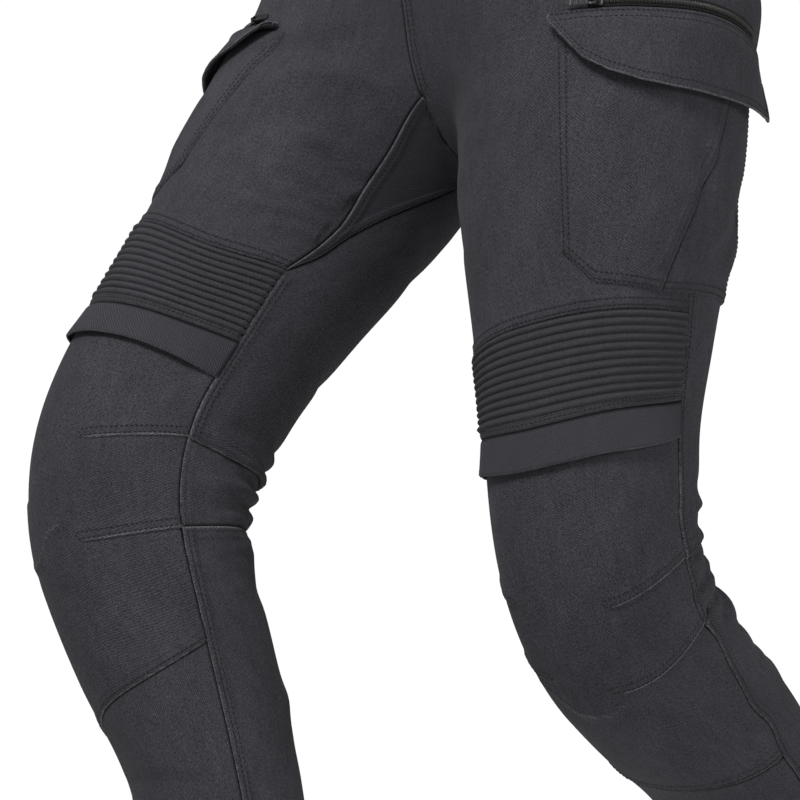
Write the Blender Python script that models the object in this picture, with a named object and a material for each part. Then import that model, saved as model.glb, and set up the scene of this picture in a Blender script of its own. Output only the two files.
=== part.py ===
"""Riding trousers of charcoal stretch twill, worn in a long stride, held up at the waist.

Lengths are in metres. The origin is the centre of the waist opening, +Z is up, the front
faces -Y and the wearer's left leg is at +X. Both legs are cut from mirrored patterns.
"down" is the distance along a leg's centre line from the waist's top edge. An angle goes
round a leg from its front (0), by its outer side (+90) and its back (180), to its inner
side (270, which is also -90).
"""

from math import cos, radians, sin, tan

import bmesh
import bpy
import numpy as np
from mathutils import Matrix, Vector

# Cloth
WALL = 0.0016
HALF_SEAM = 0.00015
OVERLAY = 0.0008

# Body line
WAIST_TILT = radians(9)
HIP_DOWN = 0.165
HIP_SPACING = 0.090
HIP_BEND = 0.110
KNEE_DOWN = 0.5545
KNEE_BEND = 0.065
TURN_START = 0.10
TURN_END = 0.42
FORK_DOWN = 0.40
UNION = 0.045

# Pose of each leg, in degrees
POSE = {
    +1: dict(flex=8.3, spread=7.1, turn=10.6, knee=59.0),
    -1: dict(flex=35.0, spread=7.7, turn=25.5, knee=44.0),
}

# Leg sections: down, front, back, inner, outer reach from the centre line
LEG_SECTIONS = np.array([
    (0.165, 0.0972, 0.1126, 0.0854, 0.0924),
    (0.245, 0.0999, 0.1081, 0.0890, 0.0955),
    (0.320, 0.0975, 0.0965, 0.0870, 0.0893),
    (0.397, 0.0925, 0.0819, 0.0768, 0.0776),
    (0.458, 0.0913, 0.0738, 0.0675, 0.0680),
    (0.505, 0.0898, 0.0731, 0.0620, 0.0672),
    (0.560, 0.0899, 0.0691, 0.0595, 0.0631),
    (0.620, 0.0858, 0.0612, 0.0592, 0.0600),
    (0.690, 0.0730, 0.0618, 0.0619, 0.0602),
    (0.750, 0.0560, 0.0619, 0.0640, 0.0612),
    (0.850, 0.0509, 0.0558, 0.0593, 0.0574),
    (0.950, 0.0494, 0.0529, 0.0530, 0.0531),
    (1.010, 0.0508, 0.0551, 0.0518, 0.0523),
])
LEG_SQUARENESS = 2.15

# Hip sections: down, half width, front, back
HIP_SECTIONS = np.array([
    (-0.020, 0.1550, 0.1004, 0.1100),
    (0.000, 0.1560, 0.1004, 0.1120),
    (0.060, 0.1660, 0.1004, 0.1220),
    (0.120, 0.1770, 0.0974, 0.1320),
    (0.165, 0.1820, 0.0924, 0.1340),
    (0.240, 0.1800, 0.0854, 0.1280),
])
HIP_SQUARENESS = 2.2
SEAT_DOWN = 0.165
SEAT_DEPTH = 0.090
HIP_FIELD = 0.12

# Seam lines: share of the width from the inner to the outer seam, then down
FRONT_LINES = {
    "waist": ((0.0, 0.040), (1.0, 0.040)),
    "ribs_top": ((0.0, 0.399), (0.25, 0.412), (0.5, 0.404), (0.75, 0.393), (1.0, 0.387)),
    "ribs_bottom": ((0.0, 0.459), (0.25, 0.469), (0.5, 0.473), (0.75, 0.458), (1.0, 0.445)),
    "band_bottom": ((0.0, 0.489), (0.25, 0.493), (0.5, 0.497), (0.75, 0.487), (1.0, 0.470)),
    "shin": ((0.0, 0.681), (0.25, 0.697), (0.5, 0.712), (0.75, 0.731), (1.0, 0.746)),
    "hem": ((0.0, 1.010), (1.0, 1.010)),
}
# Share of the width from the outer to the inner seam, then down
BACK_LINES = {
    "waist": ((0.0, 0.040), (1.0, 0.040)),
    "knee_top": ((0.0, 0.557), (0.5, 0.546), (1.0, 0.536)),
    "knee_bottom": ((0.0, 0.612), (0.5, 0.608), (1.0, 0.603)),
    "hem": ((0.0, 1.010), (1.0, 1.010)),
}
# Outer seam: down, angle
OUTSEAM = ((0.0, 84), (0.40, 84), (0.48, 88), (0.60, 86), (0.68, 79), (0.75, 76), (1.01, 78))
INSEAM = -90.0

# Crotch gusset: angles below level of its front and back corners seen from inside the fork,
# then down and angle of its two seams
FORK_INSIDE = np.array([0.0, 0.014, -0.185])
GUSSET_CORNERS = {False: radians(27), True: radians(46)}
GUSSET_SEAMS = {
    False: ((0.280, -89), (0.320, -94), (0.355, -98), (0.380, -95), (0.399, -90)),
    True: ((0.290, -122), (0.323, -112), (0.355, -104), (0.380, -98.5), (0.399, -90)),
}
GUSSET_TIP_DOWN = 0.399
GUSSET_TIP_SHARE = 0.80
GUSSET_CELLS = 6
GUSSET_TRIM = 0.0005

# Largest folds: leg, start down, start angle, end down, end angle, height, half width
FOLDS = (
    (-1, 0.500, 126, 0.494, 216, -0.0018, 0.0080),
    (-1, 0.512, 122, 0.510, 240, 0.0022, 0.0080),
    (-1, 0.526, 112, 0.522, 226, -0.0026, 0.0078),
    (-1, 0.538, 124, 0.540, 248, 0.0026, 0.0078),
    (-1, 0.551, 108, 0.554, 232, -0.0028, 0.0076),
    (-1, 0.565, 126, 0.567, 250, 0.0028, 0.0078),
    (-1, 0.580, 112, 0.578, 238, -0.0028, 0.0078),
    (-1, 0.594, 124, 0.592, 252, 0.0024, 0.0080),
    (-1, 0.612, 114, 0.606, 232, -0.0022, 0.0084),
    (-1, 0.630, 128, 0.622, 244, 0.0022, 0.0090),
    (+1, 0.500, 108, 0.494, 206, -0.0022, 0.0100),
    (+1, 0.520, 98, 0.514, 226, 0.0028, 0.0105),
    (+1, 0.540, 106, 0.540, 236, -0.0034, 0.0100),
    (+1, 0.560, 98, 0.562, 220, 0.0034, 0.0105),
    (+1, 0.582, 104, 0.580, 240, -0.0038, 0.0100),
    (+1, 0.603, 96, 0.600, 228, 0.0040, 0.0105),
    (+1, 0.626, 104, 0.620, 222, -0.0036, 0.0105),
    (+1, 0.647, 98, 0.640, 236, 0.0032, 0.0110),
    (+1, 0.670, 112, 0.660, 216, -0.0026, 0.0110),
    (-1, 0.656, 130, 0.650, 236, -0.0016, 0.0100),
    (-1, 0.716, 150, 0.735, 228, 0.0020, 0.0110),
    (-1, 0.775, 120, 0.760, 214, -0.0020, 0.0120),
    (+1, 0.724, 130, 0.742, 218, 0.0022, 0.0110),
    (+1, 0.786, 112, 0.768, 206, -0.0022, 0.0120),
    (-1, 0.885, 60, 0.900, 170, 0.0018, 0.0120),
    (+1, 0.890, 70, 0.878, 180, 0.0018, 0.0120),
    (-1, 0.925, 150, 0.915, 260, -0.0018, 0.0120),
    (+1, 0.930, 160, 0.918, 270, -0.0018, 0.0120),
    (-1, 0.205, -52, 0.270, 0, -0.0022, 0.0140),
    (-1, 0.232, -62, 0.300, -16, 0.0020, 0.0140),
    (-1, 0.265, -70, 0.330, -30, -0.0020, 0.0140),
    (+1, 0.215, -50, 0.262, -10, -0.0018, 0.0140),
    (-1, 0.300, 236, 0.345, 170, -0.0020, 0.0140),
    (+1, 0.302, 238, 0.342, 168, -0.0022, 0.0140),
    (+1, 0.270, 232, 0.300, 160, -0.0020, 0.0150),
)

# Ribs above the knee
RIB_COUNT = 12
RIB_HEIGHT = 0.0016
RIB_EDGE = 0.05
RIB_PROFILE = (0.0, 0.86, 0.86)

# Knee band, laid over the knee panel
BAND_LIFT = 0.0034

# Cargo pocket: down, angle of its front edge, of its pleat and of its rear edge
POCKET_EDGES = (
    (0.190, 24, 110, 134), (0.243, 22, 100, 134), (0.298, 20, 85, 133),
    (0.335, 19, 73, 132), (0.380, 18, 61, 131),
)
# Angle, then down of the pocket's bottom edge
POCKET_BOTTOM = ((18, 0.355), (31, 0.3765), (62, 0.378), (85, 0.374), (131, 0.368))
POCKET_BELOW_FLAP = 0.019
# How far the right leg's twisted cloth carries its pocket to the front, in degrees, and down
POCKET_TWIST = {+1: 0.0, -1: -29.0}
POCKET_DROP = {+1: 0.0, -1: 0.040}
POCKET_TOP_DOWN = 0.180
POCKET_FOOT_DOWN = 0.375
POCKET_CLEAR = 0.0011
POCKET_BULGE = 0.0030

# Flap: angle, down of its top and bottom edges, lift of its bottom edge
FLAP_EDGES = (
    (22, 0.178, 0.184, 0.0036), (28, 0.178, 0.201, 0.0040), (34, 0.177, 0.219, 0.0042),
    (42, 0.177, 0.2295, 0.0044), (54, 0.177, 0.2365, 0.0046), (66, 0.178, 0.2385, 0.0046),
    (84, 0.180, 0.2395, 0.0048), (100, 0.184, 0.2400, 0.0054), (116, 0.191, 0.2405, 0.0066),
    (128, 0.198, 0.2405, 0.0082), (138, 0.204, 0.2390, 0.0096),
)

# Zip above the flap: its angles at the front and rear ends, and its distance above the flap
ZIP_FRONT = 38.0
ZIP_REAR = 120.0
ZIP_ABOVE = 0.0052
ZIP_WIDTH = 0.0076
ZIP_THICK = 0.0011
ZIP_CLEAR = 0.0006
SLIDER_ANGLE = 41.5
SLIDER_SIZE = (0.0085, 0.0062, 0.0022)
LUG_SIZE = (0.0034, 0.0014, 0.0026)
PULL_LENGTH = 0.021
PULL_WIDTH = 0.0046
PULL_THICK = 0.0012
PULL_SLOT = 0.0055
PULL_CLEAR = 0.0003
PULL_DROP = radians(5)

# Waistband: how far its left end runs on over the right end
BAND_EXTENSION = (-0.012, -0.024)
BAND_OVERLAP_LIFT = 0.0021
BAND_RAMP = 0.30

# Mesh cells
COLUMNS = 10
ROWS = dict(rise=7, fork=7, ribs=3, knee_upper=6, back_knee=14, shin_seam=8, calf=9)


def smooth_table(x, table, column):
    """A column of a table at x, along smooth curves through the rows."""
    xs = table[:, 0]
    ys = table[:, column]
    slopes = np.gradient(ys, xs)
    x = np.clip(x, xs[0], xs[-1])
    i = np.clip(np.searchsorted(xs, x, side="right") - 1, 0, len(xs) - 2)
    step = xs[i + 1] - xs[i]
    t = (x - xs[i]) / step
    a = 2 * t**3 - 3 * t**2 + 1
    b = t**3 - 2 * t**2 + t
    c = t**3 - t**2
    return a * ys[i] + b * step * slopes[i] + (1 - a) * ys[i + 1] + c * step * slopes[i + 1]


def smooth_line(x, rows, column=1):
    return smooth_table(np.asarray(x, float), np.array(rows, float), column)


def unit(v):
    return v / np.linalg.norm(v, axis=-1, keepdims=True)


def soft_ramp(x, w):
    return np.where(x < -w, 0, np.where(x > w, x, (x + w) ** 2 / (4 * w)))


def soft_step(x):
    x = np.clip(x, 0, 1)
    return x * x * (3 - 2 * x)


def leg_section(down, front_share, side_share):
    """Reach of the leg's wall in one direction round its centre line."""
    front, back, inner, outer = (smooth_table(down, LEG_SECTIONS, k) for k in (1, 2, 3, 4))
    depth = np.where(front_share > 0, front, back)
    width = np.where(side_share > 0, outer, inner)
    n = LEG_SQUARENESS
    return (np.abs(front_share / depth) ** n + np.abs(side_share / width) ** n) ** (-1 / n)


def leg_facing(side, down, along):
    """Unit vectors to the leg's front and to its outer side."""
    turn = radians(POSE[side]["turn"]) * soft_step((down - TURN_START) / (TURN_END - TURN_START))
    front = np.stack([side * np.sin(turn), -np.cos(turn), 0 * turn], -1)
    front = unit(front - (front * along).sum(-1, keepdims=True) * along)
    return front, side * np.cross(front, along)


def thigh_direction(side):
    pose = POSE[side]
    return unit(np.array([side * tan(radians(pose["spread"])), -tan(radians(pose["flex"])), -1.0]))


def shin_direction(side):
    thigh = thigh_direction(side)
    front, outer = leg_facing(side, np.array(KNEE_DOWN), thigh)
    bend = radians(POSE[side]["knee"])
    return cos(bend) * thigh - sin(bend) * front


PELVIS = np.array([0, sin(WAIST_TILT), -cos(WAIST_TILT)])


def hip_point(side):
    return np.array([side * HIP_SPACING, 0, 0]) + HIP_DOWN * PELVIS


def centre_line(side, down):
    """Point on the leg's centre line, its direction, and the leg's front and outer sides."""
    down = np.asarray(down, float)
    thigh, shin = thigh_direction(side), shin_direction(side)
    below_hip = (down - HIP_DOWN)[..., None]
    below_knee = (down - KNEE_DOWN)[..., None]
    hip = soft_ramp(below_hip, HIP_BEND)
    knee = soft_ramp(below_knee, KNEE_BEND)
    centre = hip_point(side) + PELVIS * (below_hip - hip) + thigh * (hip - knee) + shin * knee
    at_hip = np.clip((below_hip + HIP_BEND) / (2 * HIP_BEND), 0, 1)
    at_knee = np.clip((below_knee + KNEE_BEND) / (2 * KNEE_BEND), 0, 1)
    along = unit(PELVIS * (1 - at_hip) + thigh * (at_hip - at_knee) + shin * at_knee)
    front, outer = leg_facing(side, down, along)
    return centre, along, front, outer


def thigh_field(side, p):
    """Distance outside the straight thigh, round at its hip end."""
    thigh = thigh_direction(side)
    from_hip = p - hip_point(side)
    s = from_hip @ thigh
    across = from_hip - s[..., None] * thigh
    down = np.clip(HIP_DOWN + s, HIP_DOWN, KNEE_DOWN)
    front, outer = leg_facing(side, down, np.broadcast_to(thigh, p.shape))
    a, b = (across * front).sum(-1), (across * outer).sum(-1)
    r = np.sqrt(a * a + b * b) + 1e-9
    over = np.minimum(s, 0)
    return np.sqrt(r * r + over * over) - leg_section(down, a / r, b / r)


def hip_field(p):
    """Distance outside the hips and seat, round at the fork."""
    down = p @ PELVIS
    y = p[..., 1] * cos(WAIST_TILT) + p[..., 2] * sin(WAIST_TILT)
    width, front, back = (smooth_table(down, HIP_SECTIONS, k) for k in (1, 2, 3))
    depth = np.where(y < 0, front, back)
    below = np.maximum(down - SEAT_DOWN, 0) / SEAT_DEPTH
    n = HIP_SQUARENESS
    ring = (np.abs(p[..., 0] / width) ** n + np.abs(y / depth) ** n) ** (1 / n)
    return (np.sqrt(ring * ring + below * below) - 1) * HIP_FIELD


def soft_union(a, b):
    h = np.clip(UNION - np.abs(a - b), 0, None) / UNION
    return np.minimum(a, b) - h * h * UNION / 4


def body_field(p):
    legs = soft_union(thigh_field(+1, p), thigh_field(-1, p))
    return soft_union(legs, hip_field(p))


def reach(start, direction, side=0):
    """Distance from start to the form's outside, or to the middle plane, by halving."""
    low = np.zeros(direction.shape[:-1])
    high = np.full(direction.shape[:-1], 0.30)
    for _ in range(26):
        half = (low + high) / 2
        p = start + half[..., None] * direction
        outside = (body_field(p) > 0) | (side * p[..., 0] < 0)
        high = np.where(outside, half, high)
        low = np.where(outside, low, half)
    return (low + high) / 2


def field_normal(p):
    step = 2e-4
    slopes = [body_field(p + step * axis) - body_field(p - step * axis) for axis in np.eye(3)]
    return unit(np.stack(slopes, -1))


def fold_height(side, down, angle, reach_out):
    """Sum of the folds' ridges and troughs at each point of a leg."""
    total = np.zeros(np.shape(down))
    for leg, down_a, angle_a, down_b, angle_b, height, half_width in FOLDS:
        if leg != side:
            continue
        dx = down_b - down_a
        dy = radians(angle_b - angle_a) * reach_out
        x = down - down_a
        y = (np.remainder(angle - radians(angle_a) + np.pi, 2 * np.pi) - np.pi) * reach_out
        if angle_b - angle_a > 0:
            y = np.where(y < -0.6 * dy, y + 2 * np.pi * reach_out, y)
        length = np.sqrt(dx * dx + dy * dy)
        share = (x * dx + y * dy) / length**2
        away = (x * dy - y * dx) / length
        ends = soft_step(np.minimum(share, 1 - share) / 0.25)
        total = total + height * ends * np.exp(-((away / half_width) ** 2))
    return total


def form_point(side, down, angle):
    """Point on the trousers' outside. Angle in radians."""
    down, angle = np.broadcast_arrays(np.asarray(down, float), np.asarray(angle, float))
    centre, along, front, outer = centre_line(side, down)
    direction = np.cos(angle)[..., None] * front + np.sin(angle)[..., None] * outer
    out = np.array(leg_section(np.clip(down, HIP_DOWN, 1.01), np.cos(angle), np.sin(angle)))
    upper = down < FORK_DOWN
    if upper.any():
        out[upper] = reach(centre[upper], direction[upper], side)
    out = out + fold_height(side, down, angle, out)
    return centre + out[..., None] * direction


def form_normal(side, down, angle):
    down, angle = np.broadcast_arrays(np.asarray(down, float), np.asarray(angle, float))
    step_down, step_angle = 0.002, 0.02
    d_down = form_point(side, down + step_down, angle) - form_point(side, down - step_down, angle)
    d_angle = form_point(side, down, angle + step_angle) - form_point(side, down, angle - step_angle)
    normal = unit(np.cross(d_angle, d_down))
    centre, along, front, outer = centre_line(side, down)
    direction = np.cos(angle)[..., None] * front + np.sin(angle)[..., None] * outer
    normal = normal * np.sign((normal * direction).sum(-1, keepdims=True))
    near_fork = (down < FORK_DOWN) & (side * form_point(side, down, angle)[..., 0] < 0.020)
    return np.where(near_fork[..., None], field_normal(form_point(side, down, angle)), normal)


def middle_angle(side, down, front_or_back):
    """Angle at which a leg's ring meets the middle plane. front_or_back is -1 or +1."""
    down = np.asarray(down, float)
    centre, along, front, outer = centre_line(side, down)
    line = unit(np.cross(along, np.array([1.0, 0, 0])))
    line = line * np.sign(line[..., 1:2]) * front_or_back
    across = unit(np.array([1.0, 0, 0]) - along[..., 0:1] * along)
    start = centre + across * ((side * HALF_SEAM - centre[..., 0]) / across[..., 0])[..., None]
    point = start + reach(start, line)[..., None] * line
    from_centre = point - centre
    angle = np.arctan2((from_centre * outer).sum(-1), (from_centre * front).sum(-1))
    return np.where(angle > 0, angle - 2 * np.pi, angle)


def gusset_corner(side, is_back):
    """Down and angle at which a leg's ring passes through a corner of the gusset."""
    slope = GUSSET_CORNERS[is_back]
    direction = np.array([0, cos(slope) if is_back else -cos(slope), -sin(slope)])
    corner = FORK_INSIDE + direction * float(reach(FORK_INSIDE, direction))
    low, high = 0.10, 0.36
    for _ in range(40):
        down = (low + high) / 2
        centre, along, front, outer = centre_line(side, np.array(down))
        if (corner - centre) @ along > 0:
            low = down
        else:
            high = down
    angle = np.arctan2((corner - centre) @ outer, (corner - centre) @ front)
    return down, angle - 2 * np.pi if angle > 0 else angle


CORNERS = {(side, is_back): gusset_corner(side, is_back) for side in (+1, -1) for is_back in (False, True)}


def inner_angle(side, down, is_back):
    """Angle of the inner edge: the middle plane, the gusset's seam, then the inseam."""
    down = np.asarray(down, float)
    corner, corner_angle = CORNERS[side, is_back]
    rows = ((corner, np.degrees(corner_angle)),) + GUSSET_SEAMS[is_back]
    seam = np.radians(smooth_line(np.clip(down, corner, GUSSET_TIP_DOWN), rows))
    angle = np.where(down > GUSSET_TIP_DOWN, radians(INSEAM), seam)
    above = down < corner
    if above.any():
        middle = middle_angle(side, np.minimum(down, corner), +1 if is_back else -1)
        angle = np.where(above, middle, angle)
    return angle


def outer_angle(down):
    return np.radians(smooth_line(down, OUTSEAM))


def stations(*stretches):
    """Even steps through a list of stretches, each given as (start, end, cells)."""
    values = [stretches[0][0]]
    for start, end, cells in stretches:
        values += [start + (end - start) * k / cells for k in range(1, cells + 1)]
    return np.array(values)


def panel_grid(side, is_back, top, bottom, inner_rows, outer_rows, trim=HALF_SEAM):
    """Down and angle of each grid point of a panel between two seam lines.

    inner_rows and outer_rows hold the down of each row at the inner and the outer seam.
    Columns run from the inner to the outer seam on a front, and back again on a back.
    """
    share = np.linspace(0, 1, COLUMNS + 1)[None, :]
    inner_rows, outer_rows = inner_rows[:, None], outer_rows[:, None]
    top_down = smooth_line(share, top)
    bottom_down = smooth_line(share, bottom)
    inner_part = (inner_rows - inner_rows[0]) / (inner_rows[-1] - inner_rows[0])
    outer_part = (outer_rows - outer_rows[0]) / (outer_rows[-1] - outer_rows[0])
    to_outer = 1 - share if is_back else share
    part = inner_part + (outer_part - inner_part) * to_outer
    down = top_down + (bottom_down - top_down) * part
    rough_angle = outer_angle(down) + (1 - to_outer) * radians(176 if is_back else -176)
    for row, sign in ((0, 1), (-1, -1)):
        step = form_point(side, down[row] + 0.001, rough_angle[row])
        step = step - form_point(side, down[row] - 0.001, rough_angle[row])
        down[row] += sign * trim * 0.002 / np.linalg.norm(step, axis=-1)
    inner = inner_angle(side, down, is_back)
    if is_back:
        inner = inner + 2 * np.pi
    outer = outer_angle(down)
    angle = inner + (outer - inner) * to_outer
    turn = trim / 0.08 * (-1 if is_back else 1)
    edge_in, edge_out = (-1, 0) if is_back else (0, -1)
    below_corner = down[:, edge_in] > CORNERS[side, is_back][0]
    angle[:, edge_in] += np.where(below_corner, turn, 0.2 * turn)
    angle[:, edge_out] -= turn
    return down, angle


def mesh_object(name, material, mesh, smooth=True):
    mesh.name = name
    obj = bpy.data.objects.new(name, mesh)
    mesh.materials.append(material)
    mesh.polygons.foreach_set("use_smooth", [smooth] * len(mesh.polygons))
    collection.objects.link(obj)
    return obj


def face_outwards(bm):
    bmesh.ops.recalc_face_normals(bm, faces=bm.faces[:])
    if bm.calc_volume(signed=True) < 0:
        bmesh.ops.reverse_faces(bm, faces=bm.faces[:])


def slab(name, material, outside, inside):
    """Closed wall between two grids of points: a plane grid, extruded, then shaped."""
    rows, columns = outside.shape[0] - 1, outside.shape[1] - 1
    bm = bmesh.new()
    bmesh.ops.create_grid(bm, x_segments=columns, y_segments=rows, size=0.5)
    raised = bmesh.ops.extrude_face_region(bm, geom=bm.faces[:], use_keep_orig=True)
    for element in raised["geom"]:
        if isinstance(element, bmesh.types.BMVert):
            element.co.z = 1.0
    for vert in bm.verts:
        column = round((vert.co.x + 0.5) * columns)
        row = round((vert.co.y + 0.5) * rows)
        layer = outside if vert.co.z > 0.5 else inside
        vert.co = layer[row, column]
    face_outwards(bm)
    mesh = bpy.data.meshes.new(name)
    bm.to_mesh(mesh)
    bm.free()
    return mesh_object(name, material, mesh)


def wall(name, material, side, down, angle, lift=0.0, raise_by=0.0, thick=WALL):
    """A cloth wall on the form, its inside moved out by lift and its outside raised."""
    points = form_point(side, down, angle)
    normals = form_normal(side, down, angle)
    lift = np.broadcast_to(lift, down.shape)[..., None]
    raise_by = np.broadcast_to(raise_by, down.shape)[..., None]
    outside = points + normals * (lift + raise_by)
    inside = points + normals * (lift - thick)
    near_middle = (lift[..., 0] == 0) & (down < FORK_DOWN)
    for layer in (outside, inside):
        crossed = near_middle & (side * layer[..., 0] < HALF_SEAM)
        layer[..., 0] = np.where(crossed, side * HALF_SEAM, layer[..., 0])
    return slab(name, material, outside, inside)


def on_panel(name, material, side, down, angle, lift, raise_by=0.0, thick=WALL):
    """A piece laid on a panel: its inside is the form moved out by lift."""
    return wall(name, material, side, down, angle, np.asarray(lift) + thick, raise_by, thick)


def make_panels(side, name_of, twill, rib_cloth):
    rise, fork, ribs = ROWS["rise"], ROWS["fork"], ROWS["ribs"]
    upper, knee = ROWS["knee_upper"], ROWS["back_knee"]
    front, back = FRONT_LINES, BACK_LINES
    ribs_in, ribs_out = front["ribs_top"][0][1], front["ribs_top"][-1][1]
    knee_in, knee_out = front["ribs_bottom"][0][1], front["ribs_bottom"][-1][1]
    shin_in, shin_out = front["shin"][0][1], front["shin"][-1][1]
    top_out, top_in = back["knee_top"][0][1], back["knee_top"][-1][1]
    low_out, low_in = back["knee_bottom"][0][1], back["knee_bottom"][-1][1]
    hem = front["hem"][0][1]
    waist = front["waist"][0][1]

    corner = CORNERS[side, False][0]
    inner = stations((waist, corner, rise), (corner, ribs_in, fork))
    outer = stations((waist, ribs_out, rise + fork))
    wall(name_of("front_thigh"), twill, side,
         *panel_grid(side, False, front["waist"], front["ribs_top"], inner, outer))

    corner = CORNERS[side, True][0]
    inner = stations((waist, corner, rise), (corner, ribs_in, fork),
                     (ribs_in, knee_in, ribs), (knee_in, top_in, upper))
    outer = stations((waist, ribs_out, rise + fork), (ribs_out, knee_out, ribs),
                     (knee_out, top_out, upper))
    wall(name_of("back_thigh"), twill, side,
         *panel_grid(side, True, back["waist"], back["knee_top"], inner, outer))

    cells = RIB_COUNT * len(RIB_PROFILE)
    inner = stations((ribs_in, knee_in, cells))
    outer = stations((ribs_out, knee_out, cells))
    down, angle = panel_grid(side, False, front["ribs_top"], front["ribs_bottom"], inner, outer)
    profile = np.array([RIB_PROFILE[k % len(RIB_PROFILE)] for k in range(cells + 1)])
    share = np.linspace(0, 1, COLUMNS + 1)
    fade = soft_step(np.minimum(share, 1 - share) / RIB_EDGE)
    wall(name_of("rib_panel"), rib_cloth, side, down, angle,
         raise_by=RIB_HEIGHT * profile[:, None] * fade[None, :])

    inner = stations((knee_in, top_in, upper), (top_in, low_in, knee // 2), (low_in, shin_in, 6))
    outer = stations((knee_out, top_out, upper), (top_out, low_out, knee // 2), (low_out, shin_out, 6))
    wall(name_of("knee_panel"), twill, side,
         *panel_grid(side, False, front["ribs_bottom"], front["shin"], inner, outer))

    inner = stations((top_in, low_in, knee))
    outer = stations((top_out, low_out, knee))
    wall(name_of("back_knee"), twill, side,
         *panel_grid(side, True, back["knee_top"], back["knee_bottom"], inner, outer, 2 * HALF_SEAM))

    calf = ROWS["calf"]
    inner = stations((low_in, shin_in, 12), (shin_in, hem, calf))
    outer = stations((low_out, shin_out, 12), (shin_out, hem, calf))
    wall(name_of("back_calf"), twill, side,
         *panel_grid(side, True, back["knee_bottom"], back["hem"], inner, outer, 2 * HALF_SEAM))

    inner = stations((shin_in, hem, calf))
    outer = stations((shin_out, hem, calf))
    wall(name_of("shin_panel"), twill, side,
         *panel_grid(side, False, front["shin"], front["hem"], inner, outer))

    inner = stations((knee_in, front["band_bottom"][0][1], 2))
    outer = stations((knee_out, front["band_bottom"][-1][1], 2))
    down, angle = panel_grid(side, False, front["ribs_bottom"], front["band_bottom"], inner, outer)
    part = np.linspace(0, 1, 3)[:, None]
    lift = OVERLAY + BAND_LIFT * part * soft_step(np.minimum(share, 1 - share) / 0.12)[None, :]
    on_panel(name_of("knee_band"), twill, side, down, angle, lift)


def on_thigh(side, down, angle):
    """Where the pocket's own down and angle, in degrees, come to lie on a leg. Angle in radians."""
    above_foot = np.clip((POCKET_FOOT_DOWN - down) / (POCKET_FOOT_DOWN - POCKET_TOP_DOWN), 0, 1.2)
    return down + POCKET_DROP[side] * above_foot, np.radians(angle + POCKET_TWIST[side])


def make_pocket(side, name_of, twill):
    """Cargo pocket in two parts, before and behind its pleat line."""
    rows = 8
    for part_name, columns, left, right in (("pocket_front", 5, 1, 2), ("pocket_rear", 4, 2, 3)):
        share = np.linspace(0, 1, columns + 1)[None, :]
        part = np.linspace(0, 1, rows + 1)[:, None]
        down = 0.20 + 0.17 * part + 0 * share
        for _ in range(4):
            start = smooth_line(down, POCKET_EDGES, left)
            end = smooth_line(down, POCKET_EDGES, right)
            angle = start + (end - start) * share
            bottom = np.interp(angle, [row[0] for row in POCKET_BOTTOM], [row[1] for row in POCKET_BOTTOM])
            top = flap_top(angle) + POCKET_BELOW_FLAP
            down = top + (bottom - top) * part
        down, angle = on_thigh(side, down, angle)
        if part_name == "pocket_rear":
            angle[:, 0] += 2 * HALF_SEAM / 0.09
        across = np.sin(np.pi * share / 2) if part_name == "pocket_front" else np.cos(np.pi * share / 2)
        bulge = POCKET_BULGE * across * soft_step((1 - part) / 0.3)
        bulge = bulge * soft_step(0.35 + part / 0.25)
        on_panel(name_of(part_name), twill, side, down, angle, POCKET_CLEAR + bulge)


def make_flap(side, name_of, twill):
    rows = 4
    angle = np.array([row[0] for row in FLAP_EDGES], float)[None, :]
    top, bottom, edge_lift = (np.array([row[k] for row in FLAP_EDGES])[None, :] for k in (1, 2, 3))
    part = np.linspace(0, 1, rows + 1)[:, None]
    down = top + (bottom - top) * part
    over_pocket = soft_step((down - top - 0.003) / 0.010) * (POCKET_CLEAR + WALL + 0.0004)
    lift = POCKET_CLEAR + over_pocket + edge_lift * soft_step(part) * 0.6
    lift = lift + edge_lift * 0.4 * part
    down, angle = on_thigh(side, down, angle + 0 * down)
    on_panel(name_of("pocket_flap"), twill, side, down, angle, lift)


def flap_top(angle):
    rows = np.array(FLAP_EDGES, float)
    return smooth_table(np.asarray(angle, float), rows, 1)


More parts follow.
